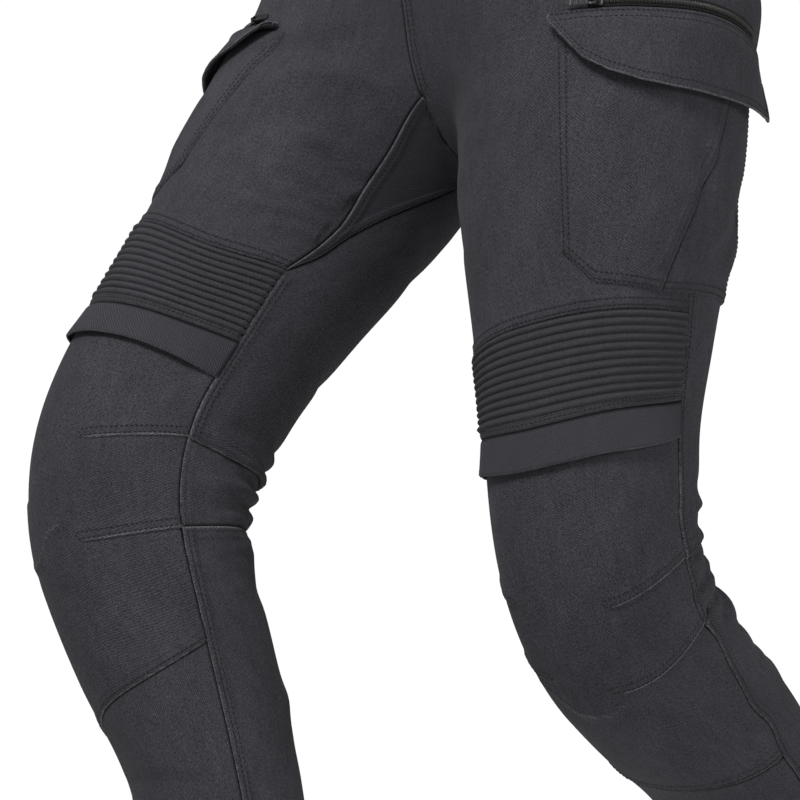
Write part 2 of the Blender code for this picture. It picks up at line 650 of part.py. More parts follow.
def make_zip(side, name_of, tape, metal):
    angle = np.linspace(ZIP_FRONT, ZIP_REAR, 11)[None, :]
    across = np.array([-0.5, 0.5])[:, None] * ZIP_WIDTH
    down, angle = on_thigh(side, flap_top(angle), angle)
    on_panel(name_of("zip_tape"), tape, side, down - ZIP_ABOVE + across, angle + 0 * across,
             ZIP_CLEAR, thick=ZIP_THICK)

    place = slider_frame(side)
    slider = bmesh.new()
    size = Matrix.Diagonal((*SLIDER_SIZE, 1))
    bmesh.ops.create_cube(slider, size=1, matrix=Matrix.Translation((0, 0, SLIDER_SIZE[2] / 2)) @ size)
    slider.faces.ensure_lookup_table()
    ends = [e for e in slider.edges if abs(e.verts[0].co.z - e.verts[1].co.z) > 1e-6]
    bmesh.ops.bevel(slider, geom=ends, offset=0.0012, segments=2, affect="EDGES", profile=0.5)
    lid = max(slider.faces, key=lambda f: f.calc_center_median().z)
    bmesh.ops.inset_region(slider, faces=[lid], thickness=0.0006)
    bmesh.ops.inset_region(slider, faces=[lid], thickness=0.0008)
    for vert in lid.verts:
        vert.co.x = max(-LUG_SIZE[0] / 2, min(LUG_SIZE[0] / 2, vert.co.x))
        vert.co.y = max(-LUG_SIZE[1] / 2, min(LUG_SIZE[1] / 2, vert.co.y))
    lug = bmesh.ops.extrude_face_region(slider, geom=[lid])
    for element in lug["geom"]:
        if isinstance(element, bmesh.types.BMVert):
            element.co.z += LUG_SIZE[2]
    bmesh.ops.delete(slider, geom=[lid], context="FACES_ONLY")
    face_outwards(slider)
    slider.transform(place)
    mesh = bpy.data.meshes.new("slider")
    slider.to_mesh(mesh)
    slider.free()
    mesh_object(name_of("zip_slider"), metal, mesh, smooth=False)

    mesh_object(name_of("zip_pull"), metal, pull_mesh(place), smooth=False)


def pull_mesh(place):
    """Pull tab: a flat fork that straddles the slider's lug, with a blank plate beyond it."""
    arm = (PULL_WIDTH - LUG_SIZE[1] - 2 * PULL_CLEAR) / 2
    gap = PULL_WIDTH / 2 - arm
    nose = PULL_THICK / 2
    outline = [(PULL_SLOT, gap), (-nose, gap), (-nose, PULL_WIDTH / 2),
               (PULL_LENGTH - 0.0016, PULL_WIDTH / 2), (PULL_LENGTH, PULL_WIDTH / 2 - 0.0016)]
    outline += [(x, -y) for x, y in reversed(outline)]
    bm = bmesh.new()
    verts = [bm.verts.new((x, y, -PULL_THICK / 2)) for x, y in outline]
    plate = bm.faces.new(verts)
    top = bmesh.ops.extrude_face_region(bm, geom=[plate], use_keep_orig=True)
    for element in top["geom"]:
        if isinstance(element, bmesh.types.BMVert):
            element.co.z += PULL_THICK
    nose_edges = [e for e in bm.edges
                  if all(abs(v.co.x + nose) < 1e-6 for v in e.verts)
                  and abs(e.verts[0].co.z - e.verts[1].co.z) < 1e-6]
    bmesh.ops.bevel(bm, geom=nose_edges, offset=PULL_THICK * 0.4, segments=2, affect="EDGES", profile=0.5)
    bmesh.ops.triangulate(bm, faces=[f for f in bm.faces if len(f.verts) > 4])
    face_outwards(bm)
    bm.transform(place @ Matrix.Translation((0, 0, pull_height())) @ Matrix.Rotation(PULL_DROP, 4, "Y"))
    mesh = bpy.data.meshes.new("pull")
    bm.to_mesh(mesh)
    bm.free()
    return mesh


def pull_height():
    """Height of the pull's hinge line over the slider's foot."""
    return SLIDER_SIZE[2] + LUG_SIZE[2] - 0.0009


def slider_frame(side):
    """Frame on the zip: x towards its front end, z out of the cloth."""
    angles = SLIDER_ANGLE + np.array([-3.0, 0.0, 3.0])
    down, angle = on_thigh(side, flap_top(angles), angles)
    down = down - ZIP_ABOVE
    ahead, base, behind = form_point(side, down, angle)
    normal = form_normal(side, down[1], angle[1])
    x = Vector(ahead - behind).normalized()
    z = Vector(normal)
    z = (z - x * z.dot(x)).normalized()
    y = z.cross(x)
    foot = Vector(base) + z * (ZIP_CLEAR + ZIP_THICK + 0.0004)
    frame = Matrix((x, y, z)).transposed().to_4x4()
    frame.translation = foot
    return frame


def gusset_edge(side, is_back):
    """Points down one seam of the gusset, from its corner to its blunt tip."""
    rows = ROWS["fork"]
    down = stations((CORNERS[side, is_back][0], GUSSET_TIP_DOWN, rows))
    angle = inner_angle(side, down, is_back) + GUSSET_TRIM / 0.08 * (1 if is_back else -1)
    points = form_point(side, down, angle)
    points[-1] = points[-2] + (points[-1] - points[-2]) * GUSSET_TIP_SHARE
    return points


def make_gusset(cloth):
    """One diamond from the front seam to the back seam, its tips down both inner thighs."""
    halves = {}
    t = np.linspace(0, 1, GUSSET_CELLS + 1)[:, None]
    for side in (-1, +1):
        front, back = gusset_edge(side, False), gusset_edge(side, True)
        leg_inside = centre_line(side, np.array(GUSSET_TIP_DOWN))[0]
        rows = []
        for k in range(len(front)):
            start = FORK_INSIDE + (leg_inside - FORK_INSIDE) * k / (len(front) - 1)
            direction = unit(unit(front[k] - start) * (1 - t) + unit(back[k] - start) * t)
            if k == 0:
                direction[:, 0] = 0
                points = start + reach(start, unit(direction))[:, None] * unit(direction)
            else:
                points = start + reach(start, direction, side)[:, None] * direction
                points[0], points[-1] = front[k], back[k]
            rows.append(points)
        halves[side] = np.array(rows)
    outside = np.concatenate([halves[-1][::-1], halves[+1][1:]])
    middle = len(halves[-1]) - 1
    for edge, toward in ((0, 1), (-1, -2)):
        step = unit(outside[middle, toward] - outside[middle, edge])
        outside[middle, edge] += step * 2 * GUSSET_TRIM
    slab("crotch_gusset", cloth, outside, outside - field_normal(outside) * WALL)


def waist_columns(side):
    """Angles round one half of the waist, from the front middle to the back middle."""
    waist = FRONT_LINES["waist"][0][1]
    share = np.linspace(0, 1, COLUMNS + 1)
    front_in = float(inner_angle(side, np.array(waist), False))
    back_in = float(inner_angle(side, np.array(waist), True)) + 2 * np.pi
    out = float(outer_angle(waist))
    front = front_in + (out - front_in) * share
    back = out + (back_in - out) * share
    return front, back


def make_waistband(cloth):
    waist = FRONT_LINES["waist"][0][1]
    downs = np.array([0.0, waist / 2, waist - HALF_SEAM])

    def ring(side, angles, lifts):
        down, angle = np.meshgrid(downs, angles, indexing="ij")
        points = form_point(side, down, angle)
        normals = form_normal(side, down, angle)
        lift = np.asarray(lifts)[None, :, None]
        return points + normals * lift, points + normals * (lift - WALL)

    pieces = []
    front, back = waist_columns(-1)
    angles = np.concatenate([front, back[1:]])
    pieces.append(ring(-1, angles, np.zeros(len(angles))))
    pieces[0][0][:, 0, 0] = -HALF_SEAM
    pieces[0][1][:, 0, 0] = -HALF_SEAM
    pieces[0][0][:, -1, 0] = 0
    pieces[0][1][:, -1, 0] = 0
    front, back = waist_columns(+1)
    angles = np.concatenate([back[:0:-1], front[::-1]])[1:]
    lifts = np.zeros(len(angles))
    lifts[-1] = BAND_OVERLAP_LIFT
    lifts[-2] = BAND_OVERLAP_LIFT * BAND_RAMP
    pieces.append(ring(+1, angles, lifts))
    extension = [middle_to_angle(-1, x) for x in BAND_EXTENSION]
    pieces.append(ring(-1, np.array(extension), [BAND_OVERLAP_LIFT] * len(extension)))
    outside = np.concatenate([piece[0] for piece in pieces], axis=1)
    inside = np.concatenate([piece[1] for piece in pieces], axis=1)
    slab("waistband", cloth, outside, inside)


def middle_to_angle(side, x):
    """Angle at the waistband's middle height at which the form lies x from the middle plane."""
    waist = FRONT_LINES["waist"][0][1]
    low = float(inner_angle(side, np.array(waist), False))
    high = low + radians(40)
    for _ in range(30):
        middle = (low + high) / 2
        here = form_point(side, np.array(waist / 2), np.array(middle))[0]
        if side * here < side * x:
            low = middle
        else:
            high = middle
    return (low + high) / 2


def material(name, colour, roughness, metallic=0.0):
    mat = bpy.data.materials.new(name)
    mat.use_nodes = True
    shader = mat.node_tree.nodes["Principled BSDF"]
    shader.inputs["Base Color"].default_value = (*colour, 1)
    shader.inputs["Roughness"].default_value = roughness
    shader.inputs["Metallic"].default_value = metallic
    return mat


for old in list(bpy.data.objects):
    bpy.data.objects.remove(old, do_unlink=True)
collection = bpy.data.collections.new("riding_trousers")
bpy.context.scene.collection.children.link(collection)

twill = material("charcoal_twill", (0.040, 0.040, 0.043), 0.90)
rib_cloth = material("ribbed_stretch", (0.032, 0.032, 0.035), 0.88)
gusset_cloth = material("gusset_twill", (0.037, 0.037, 0.040), 0.90)
tape = material("zip_tape", (0.012, 0.012, 0.013), 0.75)
metal = material("gunmetal", (0.10, 0.10, 0.105), 0.38, 1.0)

for side, side_name in ((+1, "left"), (-1, "right")):
    def name_of(piece, side_name=side_name):
        return piece + "_" + side_name

    make_panels(side, name_of, twill, rib_cloth)
    make_pocket(side, name_of, twill)
    make_flap(side, name_of, twill)
    make_zip(side, name_of, tape, metal)
make_gusset(gusset_cloth)
make_waistband(twill)
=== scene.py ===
"""Riding trousers of charcoal stretch twill, on a wearer in a long stride: cloth, sewing and finishes.

Lengths are in metres. The origin is the centre of the waist opening, +Z is up, the front
faces -Y and the wearer's left leg is at +X. Both legs are cut from mirrored patterns.
"down" is the distance along a leg's centre line from the waist's top edge. An angle goes
round a leg from its front (0), by its outer side (+90) and its back (180), to its inner
side (270, which is also -90).
"""

from math import cos, pi, radians, sin, tan

import bpy
import numpy as np
from mathutils import Matrix, Vector


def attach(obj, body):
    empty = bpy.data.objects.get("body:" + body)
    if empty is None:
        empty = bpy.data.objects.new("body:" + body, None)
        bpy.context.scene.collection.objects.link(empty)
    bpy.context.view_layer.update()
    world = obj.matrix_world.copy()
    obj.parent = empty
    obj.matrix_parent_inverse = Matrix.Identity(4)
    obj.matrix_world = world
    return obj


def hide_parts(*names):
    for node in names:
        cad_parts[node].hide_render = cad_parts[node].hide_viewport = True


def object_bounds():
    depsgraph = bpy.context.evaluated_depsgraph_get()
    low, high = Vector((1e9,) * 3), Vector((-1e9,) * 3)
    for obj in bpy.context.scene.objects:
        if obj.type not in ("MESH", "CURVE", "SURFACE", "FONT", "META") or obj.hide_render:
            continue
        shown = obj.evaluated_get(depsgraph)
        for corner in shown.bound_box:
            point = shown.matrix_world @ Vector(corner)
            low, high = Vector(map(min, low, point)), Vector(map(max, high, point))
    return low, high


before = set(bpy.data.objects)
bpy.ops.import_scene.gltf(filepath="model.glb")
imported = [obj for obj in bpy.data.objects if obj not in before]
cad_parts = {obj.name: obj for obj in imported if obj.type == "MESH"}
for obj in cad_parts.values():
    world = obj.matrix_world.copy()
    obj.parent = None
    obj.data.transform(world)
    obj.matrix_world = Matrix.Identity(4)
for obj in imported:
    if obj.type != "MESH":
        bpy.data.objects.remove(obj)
solid_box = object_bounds()

# Cloth
WALL = 0.0016
HALF_SEAM = 0.00015
OVERLAY = 0.0008

# Body line
WAIST_TILT = radians(9)
HIP_DOWN = 0.165
HIP_SPACING = 0.090
HIP_BEND = 0.110
KNEE_DOWN = 0.5545
KNEE_BEND = 0.065
TURN_START = 0.10
TURN_END = 0.42
FORK_DOWN = 0.40
UNION = 0.045

# Pose of each leg, in degrees
POSE = {
    +1: dict(flex=8.3, spread=7.1, turn=10.6, knee=59.0),
    -1: dict(flex=35.0, spread=7.7, turn=25.5, knee=44.0),
}

# Leg sections: down, front, back, inner, outer reach from the centre line
LEG_SECTIONS = np.array([
    (0.165, 0.0972, 0.1126, 0.0854, 0.0924),
    (0.245, 0.0999, 0.1081, 0.0890, 0.0955),
    (0.320, 0.0975, 0.0965, 0.0870, 0.0893),
    (0.397, 0.0925, 0.0819, 0.0768, 0.0776),
    (0.458, 0.0913, 0.0738, 0.0675, 0.0680),
    (0.505, 0.0898, 0.0731, 0.0620, 0.0672),
    (0.560, 0.0899, 0.0691, 0.0595, 0.0631),
    (0.620, 0.0858, 0.0612, 0.0592, 0.0600),
    (0.690, 0.0730, 0.0618, 0.0619, 0.0602),
    (0.750, 0.0560, 0.0619, 0.0640, 0.0612),
    (0.850, 0.0509, 0.0558, 0.0593, 0.0574),
    (0.950, 0.0494, 0.0529, 0.0530, 0.0531),
    (1.010, 0.0508, 0.0551, 0.0518, 0.0523),
])
LEG_SQUARENESS = 2.15

# Hip sections: down, half width, front, back
HIP_SECTIONS = np.array([
    (-0.020, 0.1550, 0.1004, 0.1100),
    (0.000, 0.1560, 0.1004, 0.1120),
    (0.060, 0.1660, 0.1004, 0.1220),
    (0.120, 0.1770, 0.0974, 0.1320),
    (0.165, 0.1820, 0.0924, 0.1340),
    (0.240, 0.1800, 0.0854, 0.1280),
])
HIP_SQUARENESS = 2.2
SEAT_DOWN = 0.165
SEAT_DEPTH = 0.090
HIP_FIELD = 0.12

# Seam lines: share of the width from the inner to the outer seam, then down
FRONT_LINES = {
    "waist": ((0.0, 0.040), (1.0, 0.040)),
    "ribs_top": ((0.0, 0.399), (0.25, 0.412), (0.5, 0.404), (0.75, 0.393), (1.0, 0.387)),
    "ribs_bottom": ((0.0, 0.459), (0.25, 0.469), (0.5, 0.473), (0.75, 0.458), (1.0, 0.445)),
    "band_bottom": ((0.0, 0.489), (0.25, 0.493), (0.5, 0.497), (0.75, 0.487), (1.0, 0.470)),
    "shin": ((0.0, 0.681), (0.25, 0.697), (0.5, 0.712), (0.75, 0.731), (1.0, 0.746)),
    "hem": ((0.0, 1.010), (1.0, 1.010)),
}
# Share of the width from the outer to the inner seam, then down
BACK_LINES = {
    "waist": ((0.0, 0.040), (1.0, 0.040)),
    "knee_top": ((0.0, 0.557), (0.5, 0.546), (1.0, 0.536)),
    "knee_bottom": ((0.0, 0.612), (0.5, 0.608), (1.0, 0.603)),
    "hem": ((0.0, 1.010), (1.0, 1.010)),
}
# Outer seam: down, angle
OUTSEAM = ((0.0, 84), (0.40, 84), (0.48, 88), (0.60, 86), (0.68, 79), (0.75, 76), (1.01, 78))
INSEAM = -90.0

# Crotch gusset: angles below level of its front and back corners seen from inside the fork,
# then down and angle of its two seams
FORK_INSIDE = np.array([0.0, 0.014, -0.185])
GUSSET_CORNERS = {False: radians(27), True: radians(46)}
GUSSET_SEAMS = {
    False: ((0.280, -89), (0.320, -94), (0.355, -98), (0.380, -95), (0.399, -90)),
    True: ((0.290, -122), (0.323, -112), (0.355, -104), (0.380, -98.5), (0.399, -90)),
}
GUSSET_TIP_DOWN = 0.399
GUSSET_TIP_SHARE = 0.80

# Largest folds: leg, start down, start angle, end down, end angle, height, half width
FOLDS = (
    (-1, 0.500, 126, 0.494, 216, -0.0018, 0.0080),
    (-1, 0.512, 122, 0.510, 240, 0.0022, 0.0080),
    (-1, 0.526, 112, 0.522, 226, -0.0026, 0.0078),
    (-1, 0.538, 124, 0.540, 248, 0.0026, 0.0078),
    (-1, 0.551, 108, 0.554, 232, -0.0028, 0.0076),
    (-1, 0.565, 126, 0.567, 250, 0.0028, 0.0078),
    (-1, 0.580, 112, 0.578, 238, -0.0028, 0.0078),
    (-1, 0.594, 124, 0.592, 252, 0.0024, 0.0080),
    (-1, 0.612, 114, 0.606, 232, -0.0022, 0.0084),
    (-1, 0.630, 128, 0.622, 244, 0.0022, 0.0090),
    (+1, 0.500, 108, 0.494, 206, -0.0022, 0.0100),
    (+1, 0.520, 98, 0.514, 226, 0.0028, 0.0105),
    (+1, 0.540, 106, 0.540, 236, -0.0034, 0.0100),
    (+1, 0.560, 98, 0.562, 220, 0.0034, 0.0105),
    (+1, 0.582, 104, 0.580, 240, -0.0038, 0.0100),
    (+1, 0.603, 96, 0.600, 228, 0.0040, 0.0105),
    (+1, 0.626, 104, 0.620, 222, -0.0036, 0.0105),
    (+1, 0.647, 98, 0.640, 236, 0.0032, 0.0110),
    (+1, 0.670, 112, 0.660, 216, -0.0026, 0.0110),
    (-1, 0.656, 130, 0.650, 236, -0.0016, 0.0100),
    (-1, 0.716, 150, 0.735, 228, 0.0020, 0.0110),
    (-1, 0.775, 120, 0.760, 214, -0.0020, 0.0120),
    (+1, 0.724, 130, 0.742, 218, 0.0022, 0.0110),
    (+1, 0.786, 112, 0.768, 206, -0.0022, 0.0120),
    (-1, 0.885, 60, 0.900, 170, 0.0018, 0.0120),
    (+1, 0.890, 70, 0.878, 180, 0.0018, 0.0120),
    (-1, 0.925, 150, 0.915, 260, -0.0018, 0.0120),
    (+1, 0.930, 160, 0.918, 270, -0.0018, 0.0120),
    (-1, 0.205, -52, 0.270, 0, -0.0022, 0.0140),
    (-1, 0.232, -62, 0.300, -16, 0.0020, 0.0140),
    (-1, 0.265, -70, 0.330, -30, -0.0020, 0.0140),
    (+1, 0.215, -50, 0.262, -10, -0.0018, 0.0140),
    (-1, 0.300, 236, 0.345, 170, -0.0020, 0.0140),
    (+1, 0.302, 238, 0.342, 168, -0.0022, 0.0140),
    (+1, 0.270, 232, 0.300, 160, -0.0020, 0.0150),
)

# Knee band, laid over the knee panel
BAND_LIFT = 0.0034

# Cargo pocket: down, angle of its front edge, of its pleat and of its rear edge
POCKET_EDGES = (
    (0.190, 24, 110, 134), (0.243, 22, 100, 134), (0.298, 20, 85, 133),
    (0.335, 19, 73, 132), (0.380, 18, 61, 131),
)
# Angle, then down of the pocket's bottom edge
POCKET_BOTTOM = ((18, 0.355), (31, 0.3765), (62, 0.378), (85, 0.374), (131, 0.368))
POCKET_BELOW_FLAP = 0.019
# How far the right leg's twisted cloth carries its pocket to the front, in degrees, and down
POCKET_TWIST = {+1: 0.0, -1: -29.0}
POCKET_DROP = {+1: 0.0, -1: 0.040}
POCKET_TOP_DOWN = 0.180
POCKET_FOOT_DOWN = 0.375
POCKET_CLEAR = 0.0011
POCKET_BULGE = 0.0030

# Flap: angle, down of its top and bottom edges, lift of its bottom edge
FLAP_EDGES = (
    (22, 0.178, 0.184, 0.0036), (28, 0.178, 0.201, 0.0040), (34, 0.177, 0.219, 0.0042),
    (42, 0.177, 0.2295, 0.0044), (54, 0.177, 0.2365, 0.0046), (66, 0.178, 0.2385, 0.0046),
    (84, 0.180, 0.2395, 0.0048), (100, 0.184, 0.2400, 0.0054), (116, 0.191, 0.2405, 0.0066),
    (128, 0.198, 0.2405, 0.0082), (138, 0.204, 0.2390, 0.0096),
)

# Zip above the flap: its angles at the front and rear ends, and its distance above the flap
ZIP_FRONT = 38.0
ZIP_REAR = 120.0
ZIP_ABOVE = 0.0052
ZIP_WIDTH = 0.0076
ZIP_THICK = 0.0011
ZIP_CLEAR = 0.0006

# Waistband: how far its left end runs on over the right end
BAND_EXTENSION = (-0.012, -0.024)
BAND_OVERLAP_LIFT = 0.0021

# Darts on the knee panel: lines across it by share from inner to outer seam, then down, and the
# shares at which the two darts on each line end
DARTS = {
    +1: dict(
        upper=((0.0, 0.535), (0.40, 0.553), (0.52, 0.556), (0.64, 0.559), (1.0, 0.555)),
        lower=((0.0, 0.602), (0.46, 0.588), (0.60, 0.599), (1.0, 0.609)),
        tips=((0.42, 0.64), (0.46, 0.60))),
    -1: dict(
        upper=((0.0, 0.535), (0.35, 0.551), (0.50, 0.556), (0.64, 0.559), (1.0, 0.555)),
        lower=((0.0, 0.602), (0.36, 0.603), (0.60, 0.600), (1.0, 0.609)),
        tips=((0.35, 0.64), (0.36, 0.60))),
}

# Lower edge of the knee protector, felt through the cloth: down, angle
PROTECTOR_EDGE = ((0.590, -27), (0.596, -14), (0.608, -4), (0.610, 8), (0.604, 24))

# Soft creases: leg, height, width, then down and angle along the crease
CREASES = (
    (-1, +0.0030, 0.0046, ((0.306, -46), (0.309, -62), (0.308, -80), (0.306, -93))),
    (-1, +0.0034, 0.0046, ((0.341, -46), (0.337, -68), (0.333, -84), (0.331, -94))),
    (-1, +0.0020, 0.0040, ((0.354, -56), (0.350, -72), (0.343, -88), (0.341, -94))),
    (-1, +0.0034, 0.0046, ((0.374, -44), (0.366, -66), (0.359, -82), (0.356, -94))),
    (-1, +0.0022, 0.0040, ((0.382, -58), (0.375, -74), (0.369, -86), (0.367, -94))),
    (-1, -0.0022, 0.0060, ((0.322, -56), (0.322, -78), (0.319, -94))),
    (-1, -0.0014, 0.0064, ((0.240, -22), (0.236, -44), (0.238, -66))),
    (-1, +0.0013, 0.0060, ((0.270, -30), (0.258, -52), (0.244, -70))),
    (-1, -0.0022, 0.0050, ((0.509, -108), (0.510, -134), (0.503, -165))),
    (-1, -0.0024, 0.0050, ((0.545, -112), (0.543, -136), (0.546, -170))),
    (-1, -0.0024, 0.0050, ((0.575, -100), (0.586, -122), (0.600, -165))),
    (-1, +0.0014, 0.0055, ((0.560, -104), (0.564, -130), (0.570, -160))),
    (-1, -0.0019, 0.0045, ((0.631, -104), (0.628, -134), (0.624, -165))),
    (-1, -0.0012, 0.0060, ((0.630, -88), (0.640, -104), (0.642, -140))),
    (-1, -0.0009, 0.0060, ((0.655, -92), (0.660, -106), (0.656, -135))),
    (-1, -0.0022, 0.0060, ((0.757, 35), (0.764, -10), (0.768, -48), (0.770, -75))),
    (-1, +0.0017, 0.0070, ((0.774, 30), (0.781, -10), (0.784, -50))),
    (-1, -0.0014, 0.0040, ((0.596, 8), (0.600, -14), (0.598, -27))),
    (-1, -0.0019, 0.0060, ((0.560, 92), (0.566, 120), (0.570, 165))),
    (-1, -0.0019, 0.0060, ((0.592, 90), (0.598, 118), (0.590, 160))),
    (-1, +0.0016, 0.0060, ((0.535, 96), (0.540, 130), (0.536, 170))),
    (-1, -0.0014, 0.0080, ((0.870, -60), (0.884, -100), (0.880, -150))),
    (-1, -0.0017, 0.0080, ((0.915, 20), (0.926, -30), (0.920, -90))),
    (-1, +0.0014, 0.0080, ((0.950, 110), (0.960, 160), (0.954, 215))),
    (-1, -0.0017, 0.0090, ((0.180, 120), (0.230, 150), (0.262, 200))),
    (-1, +0.0014, 0.0090, ((0.215, 110), (0.262, 148), (0.290, 198))),
    (-1, -0.0014, 0.0080, ((0.420, 130), (0.440, 165), (0.436, 210))),
    (+1, -0.0019, 0.0052, ((0.570, 70), (0.586, 76), (0.590, 88))),
    (+1, -0.0035, 0.0048, ((0.586, 88), (0.592, 104), (0.607, 130), (0.612, 170))),
    (+1, -0.0035, 0.0048, ((0.606, 84), (0.614, 98), (0.623, 120), (0.622, 160))),
    (+1, -0.0032, 0.0050, ((0.640, 98), (0.634, 112), (0.640, 140), (0.636, 175))),
    (+1, -0.0024, 0.0052, ((0.633, 84), (0.648, 104), (0.666, 128))),
    (+1, -0.0027, 0.0048, ((0.558, 90), (0.564, 106), (0.568, 135), (0.562, 170))),
    (+1, +0.0022, 0.0060, ((0.575, 92), (0.578, 118), (0.584, 160))),
    (+1, -0.0019, 0.0050, ((0.522, 92), (0.528, 112), (0.530, 150))),
    (+1, -0.0017, 0.0070, ((0.680, 92), (0.694, 120), (0.700, 165))),
    (+1, +0.0014, 0.0070, ((0.702, 84), (0.720, 110), (0.728, 150))),
    (+1, -0.0024, 0.0060, ((0.560, -96), (0.566, -130), (0.562, -170))),
    (+1, -0.0024, 0.0060, ((0.588, -94), (0.596, -128), (0.590, -168))),
    (+1, +0.0019, 0.0060, ((0.574, -98), (0.580, -130), (0.576, -165))),
    (+1, -0.0022, 0.0060, ((0.620, -92), (0.630, -126), (0.624, -165))),
    (+1, -0.0014, 0.0060, ((0.650, -90), (0.658, -120), (0.652, -160))),
    (+1, -0.0014, 0.0045, ((0.405, 88), (0.403, 102), (0.405, 116))),
    (+1, -0.0011, 0.0045, ((0.432, 88), (0.430, 100), (0.434, 118))),
    (+1, -0.0011, 0.0050, ((0.486, 90), (0.484, 102), (0.488, 122))),
    (+1, -0.0011, 0.0090, ((0.280, -62), (0.270, -40), (0.250, -20))),
    (+1, +0.0010, 0.0090, ((0.318, -70), (0.300, -44), (0.276, -20))),
    (+1, -0.0011, 0.0080, ((0.352, -78), (0.340, -56), (0.320, -34))),
    (+1, -0.0008, 0.0090, ((0.536, 34), (0.552, 20), (0.572, 4))),
    (+1, -0.0017, 0.0090, ((0.880, -40), (0.892, 10), (0.886, 70))),
    (+1, +0.0014, 0.0090, ((0.905, 120), (0.918, 170), (0.910, 230))),
    (+1, -0.0017, 0.0080, ((0.940, -80), (0.950, -30), (0.944, 30))),
    (+1, -0.0017, 0.0090, ((0.190, 140), (0.235, 165), (0.262, 205))),
    (+1, +0.0014, 0.0090, ((0.225, 132), (0.268, 160), (0.296, 200))),
    (+1, -0.0014, 0.0080, ((0.425, 130), (0.440, 165), (0.434, 210))),
)

# How far the gathers draw the outer seam to and fro, in degrees
SEAM_SWAY = 1.7

# How far the right pocket's front edge leans to the front at its top, in degrees, and how many
# times taller than its cut the right flap hangs
EDGE_FORWARD = {+1: 0.0, -1: 8.0}
FLAP_TALLER = {+1: 1.0, -1: 1.18}

# Soft sags of the pocket's cloth: height, width, then down and angle along the sag
POCKET_SAGS = {
    +1: (
        (-0.0022, 0.0060, ((0.268, 80), (0.300, 84), (0.330, 86))),
        (+0.0019, 0.0060, ((0.262, 88), (0.296, 92), (0.330, 93))),
        (-0.0035, 0.0075, ((0.270, 136), (0.312, 124), (0.340, 106), (0.352, 92))),
        (+0.0026, 0.0080, ((0.290, 138), (0.330, 128), (0.358, 112))),
        (-0.0013, 0.0110, ((0.250, 40), (0.290, 46), (0.340, 44))),
    ),
    -1: (
        (-0.0019, 0.0070, ((0.290, 50), (0.320, 56), (0.350, 60))),
        (+0.0019, 0.0070, ((0.285, 60), (0.318, 68), (0.350, 72))),
        (-0.0026, 0.0080, ((0.300, 104), (0.330, 94), (0.356, 80))),
        (+0.0016, 0.0100, ((0.280, 10), (0.320, 14), (0.355, 10))),
    ),
}

# Camera
CAMERA_TURN = 44.14
CAMERA_TILT = -0.37
CAMERA_AIM = (0, 0.0258, -0.1630)
CAMERA_AIM_PIXEL = (500.95, 24.37)
CAMERA_DISTANCE = 2.8
PIXELS_PER_METRE = 1409.33

# Floor and light
FLOOR_RADIUS = 2.2
FLOOR_BELOW = 0.09
WORLD_LIGHT = 0.24
LIGHTS = (
    ("key", (0.5, -1.7, 1.7), (0.0, 0.0, -0.45), 1.0, 66.0),
    ("side", (2.2, 0.7, 0.4), (0.1, 0.0, -0.5), 1.0, 17.0),
    ("top", (-0.9, 0.0, 1.9), (0.0, 0.0, -0.3), 1.4, 16.0),
)

# Cloth and sewing, in the scene's own finer sizes
FINE_CELL = 0.0009
CELL = 0.0034
KNEE_CELL = 0.0028
EDGE_LAP = 0.0009
LAP_HEIGHT = 0.0008
LAP_WIDTH = 0.0068
SINK = 0.0009
SINK_WIDTH = 0.0032
PUCKER = 0.00022
WEAR_WIDTH = 0.0010
RIBS = 12
RIB_HEIGHT = 0.0030
RIB_STEPS = 8

# Stitches
PITCH = 0.0034
STITCH = 0.0025
THREAD = 0.00043
ROW_NEAR = 0.0017
ROW_FAR = 0.0064


def smooth_table(x, table, column):
    """A column of a table at x, along smooth curves through the rows."""
    xs = table[:, 0]
    ys = table[:, column]
    slopes = np.gradient(ys, xs)
    x = np.clip(x, xs[0], xs[-1])
    i = np.clip(np.searchsorted(xs, x, side="right") - 1, 0, len(xs) - 2)
    step = xs[i + 1] - xs[i]
    t = (x - xs[i]) / step
    a = 2 * t**3 - 3 * t**2 + 1
    b = t**3 - 2 * t**2 + t
    c = t**3 - t**2
    return a * ys[i] + b * step * slopes[i] + (1 - a) * ys[i + 1] + c * step * slopes[i + 1]


def smooth_line(x, rows, column=1):
    return smooth_table(np.asarray(x, float), np.array(rows, float), column)


def unit(v):
    """Vectors scaled to length one."""
    return v / np.linalg.norm(v, axis=-1, keepdims=True)


def soft_ramp(x, w):
    return np.where(x < -w, 0, np.where(x > w, x, (x + w) ** 2 / (4 * w)))


def soft_step(x):
    """Smooth rise from 0 to 1 as x goes from 0 to 1."""
    x = np.clip(x, 0, 1)
    return x * x * (3 - 2 * x)


def leg_section(down, front_share, side_share):
    """Reach of the leg's wall in one direction round its centre line."""
    front, back, inner, outer = (smooth_table(down, LEG_SECTIONS, k) for k in (1, 2, 3, 4))
    depth = np.where(front_share > 0, front, back)
    width = np.where(side_share > 0, outer, inner)
    n = LEG_SQUARENESS
    return (np.abs(front_share / depth) ** n + np.abs(side_share / width) ** n) ** (-1 / n)


def leg_facing(side, down, along):
    """Unit vectors to the leg's front and to its outer side."""
    turn = radians(POSE[side]["turn"]) * soft_step((down - TURN_START) / (TURN_END - TURN_START))
    front = np.stack([side * np.sin(turn), -np.cos(turn), 0 * turn], -1)
    front = unit(front - (front * along).sum(-1, keepdims=True) * along)
    return front, side * np.cross(front, along)


def thigh_direction(side):
    """Direction of a leg's thigh, from the hip to the knee."""
    pose = POSE[side]
    return unit(np.array([side * tan(radians(pose["spread"])), -tan(radians(pose["flex"])), -1.0]))


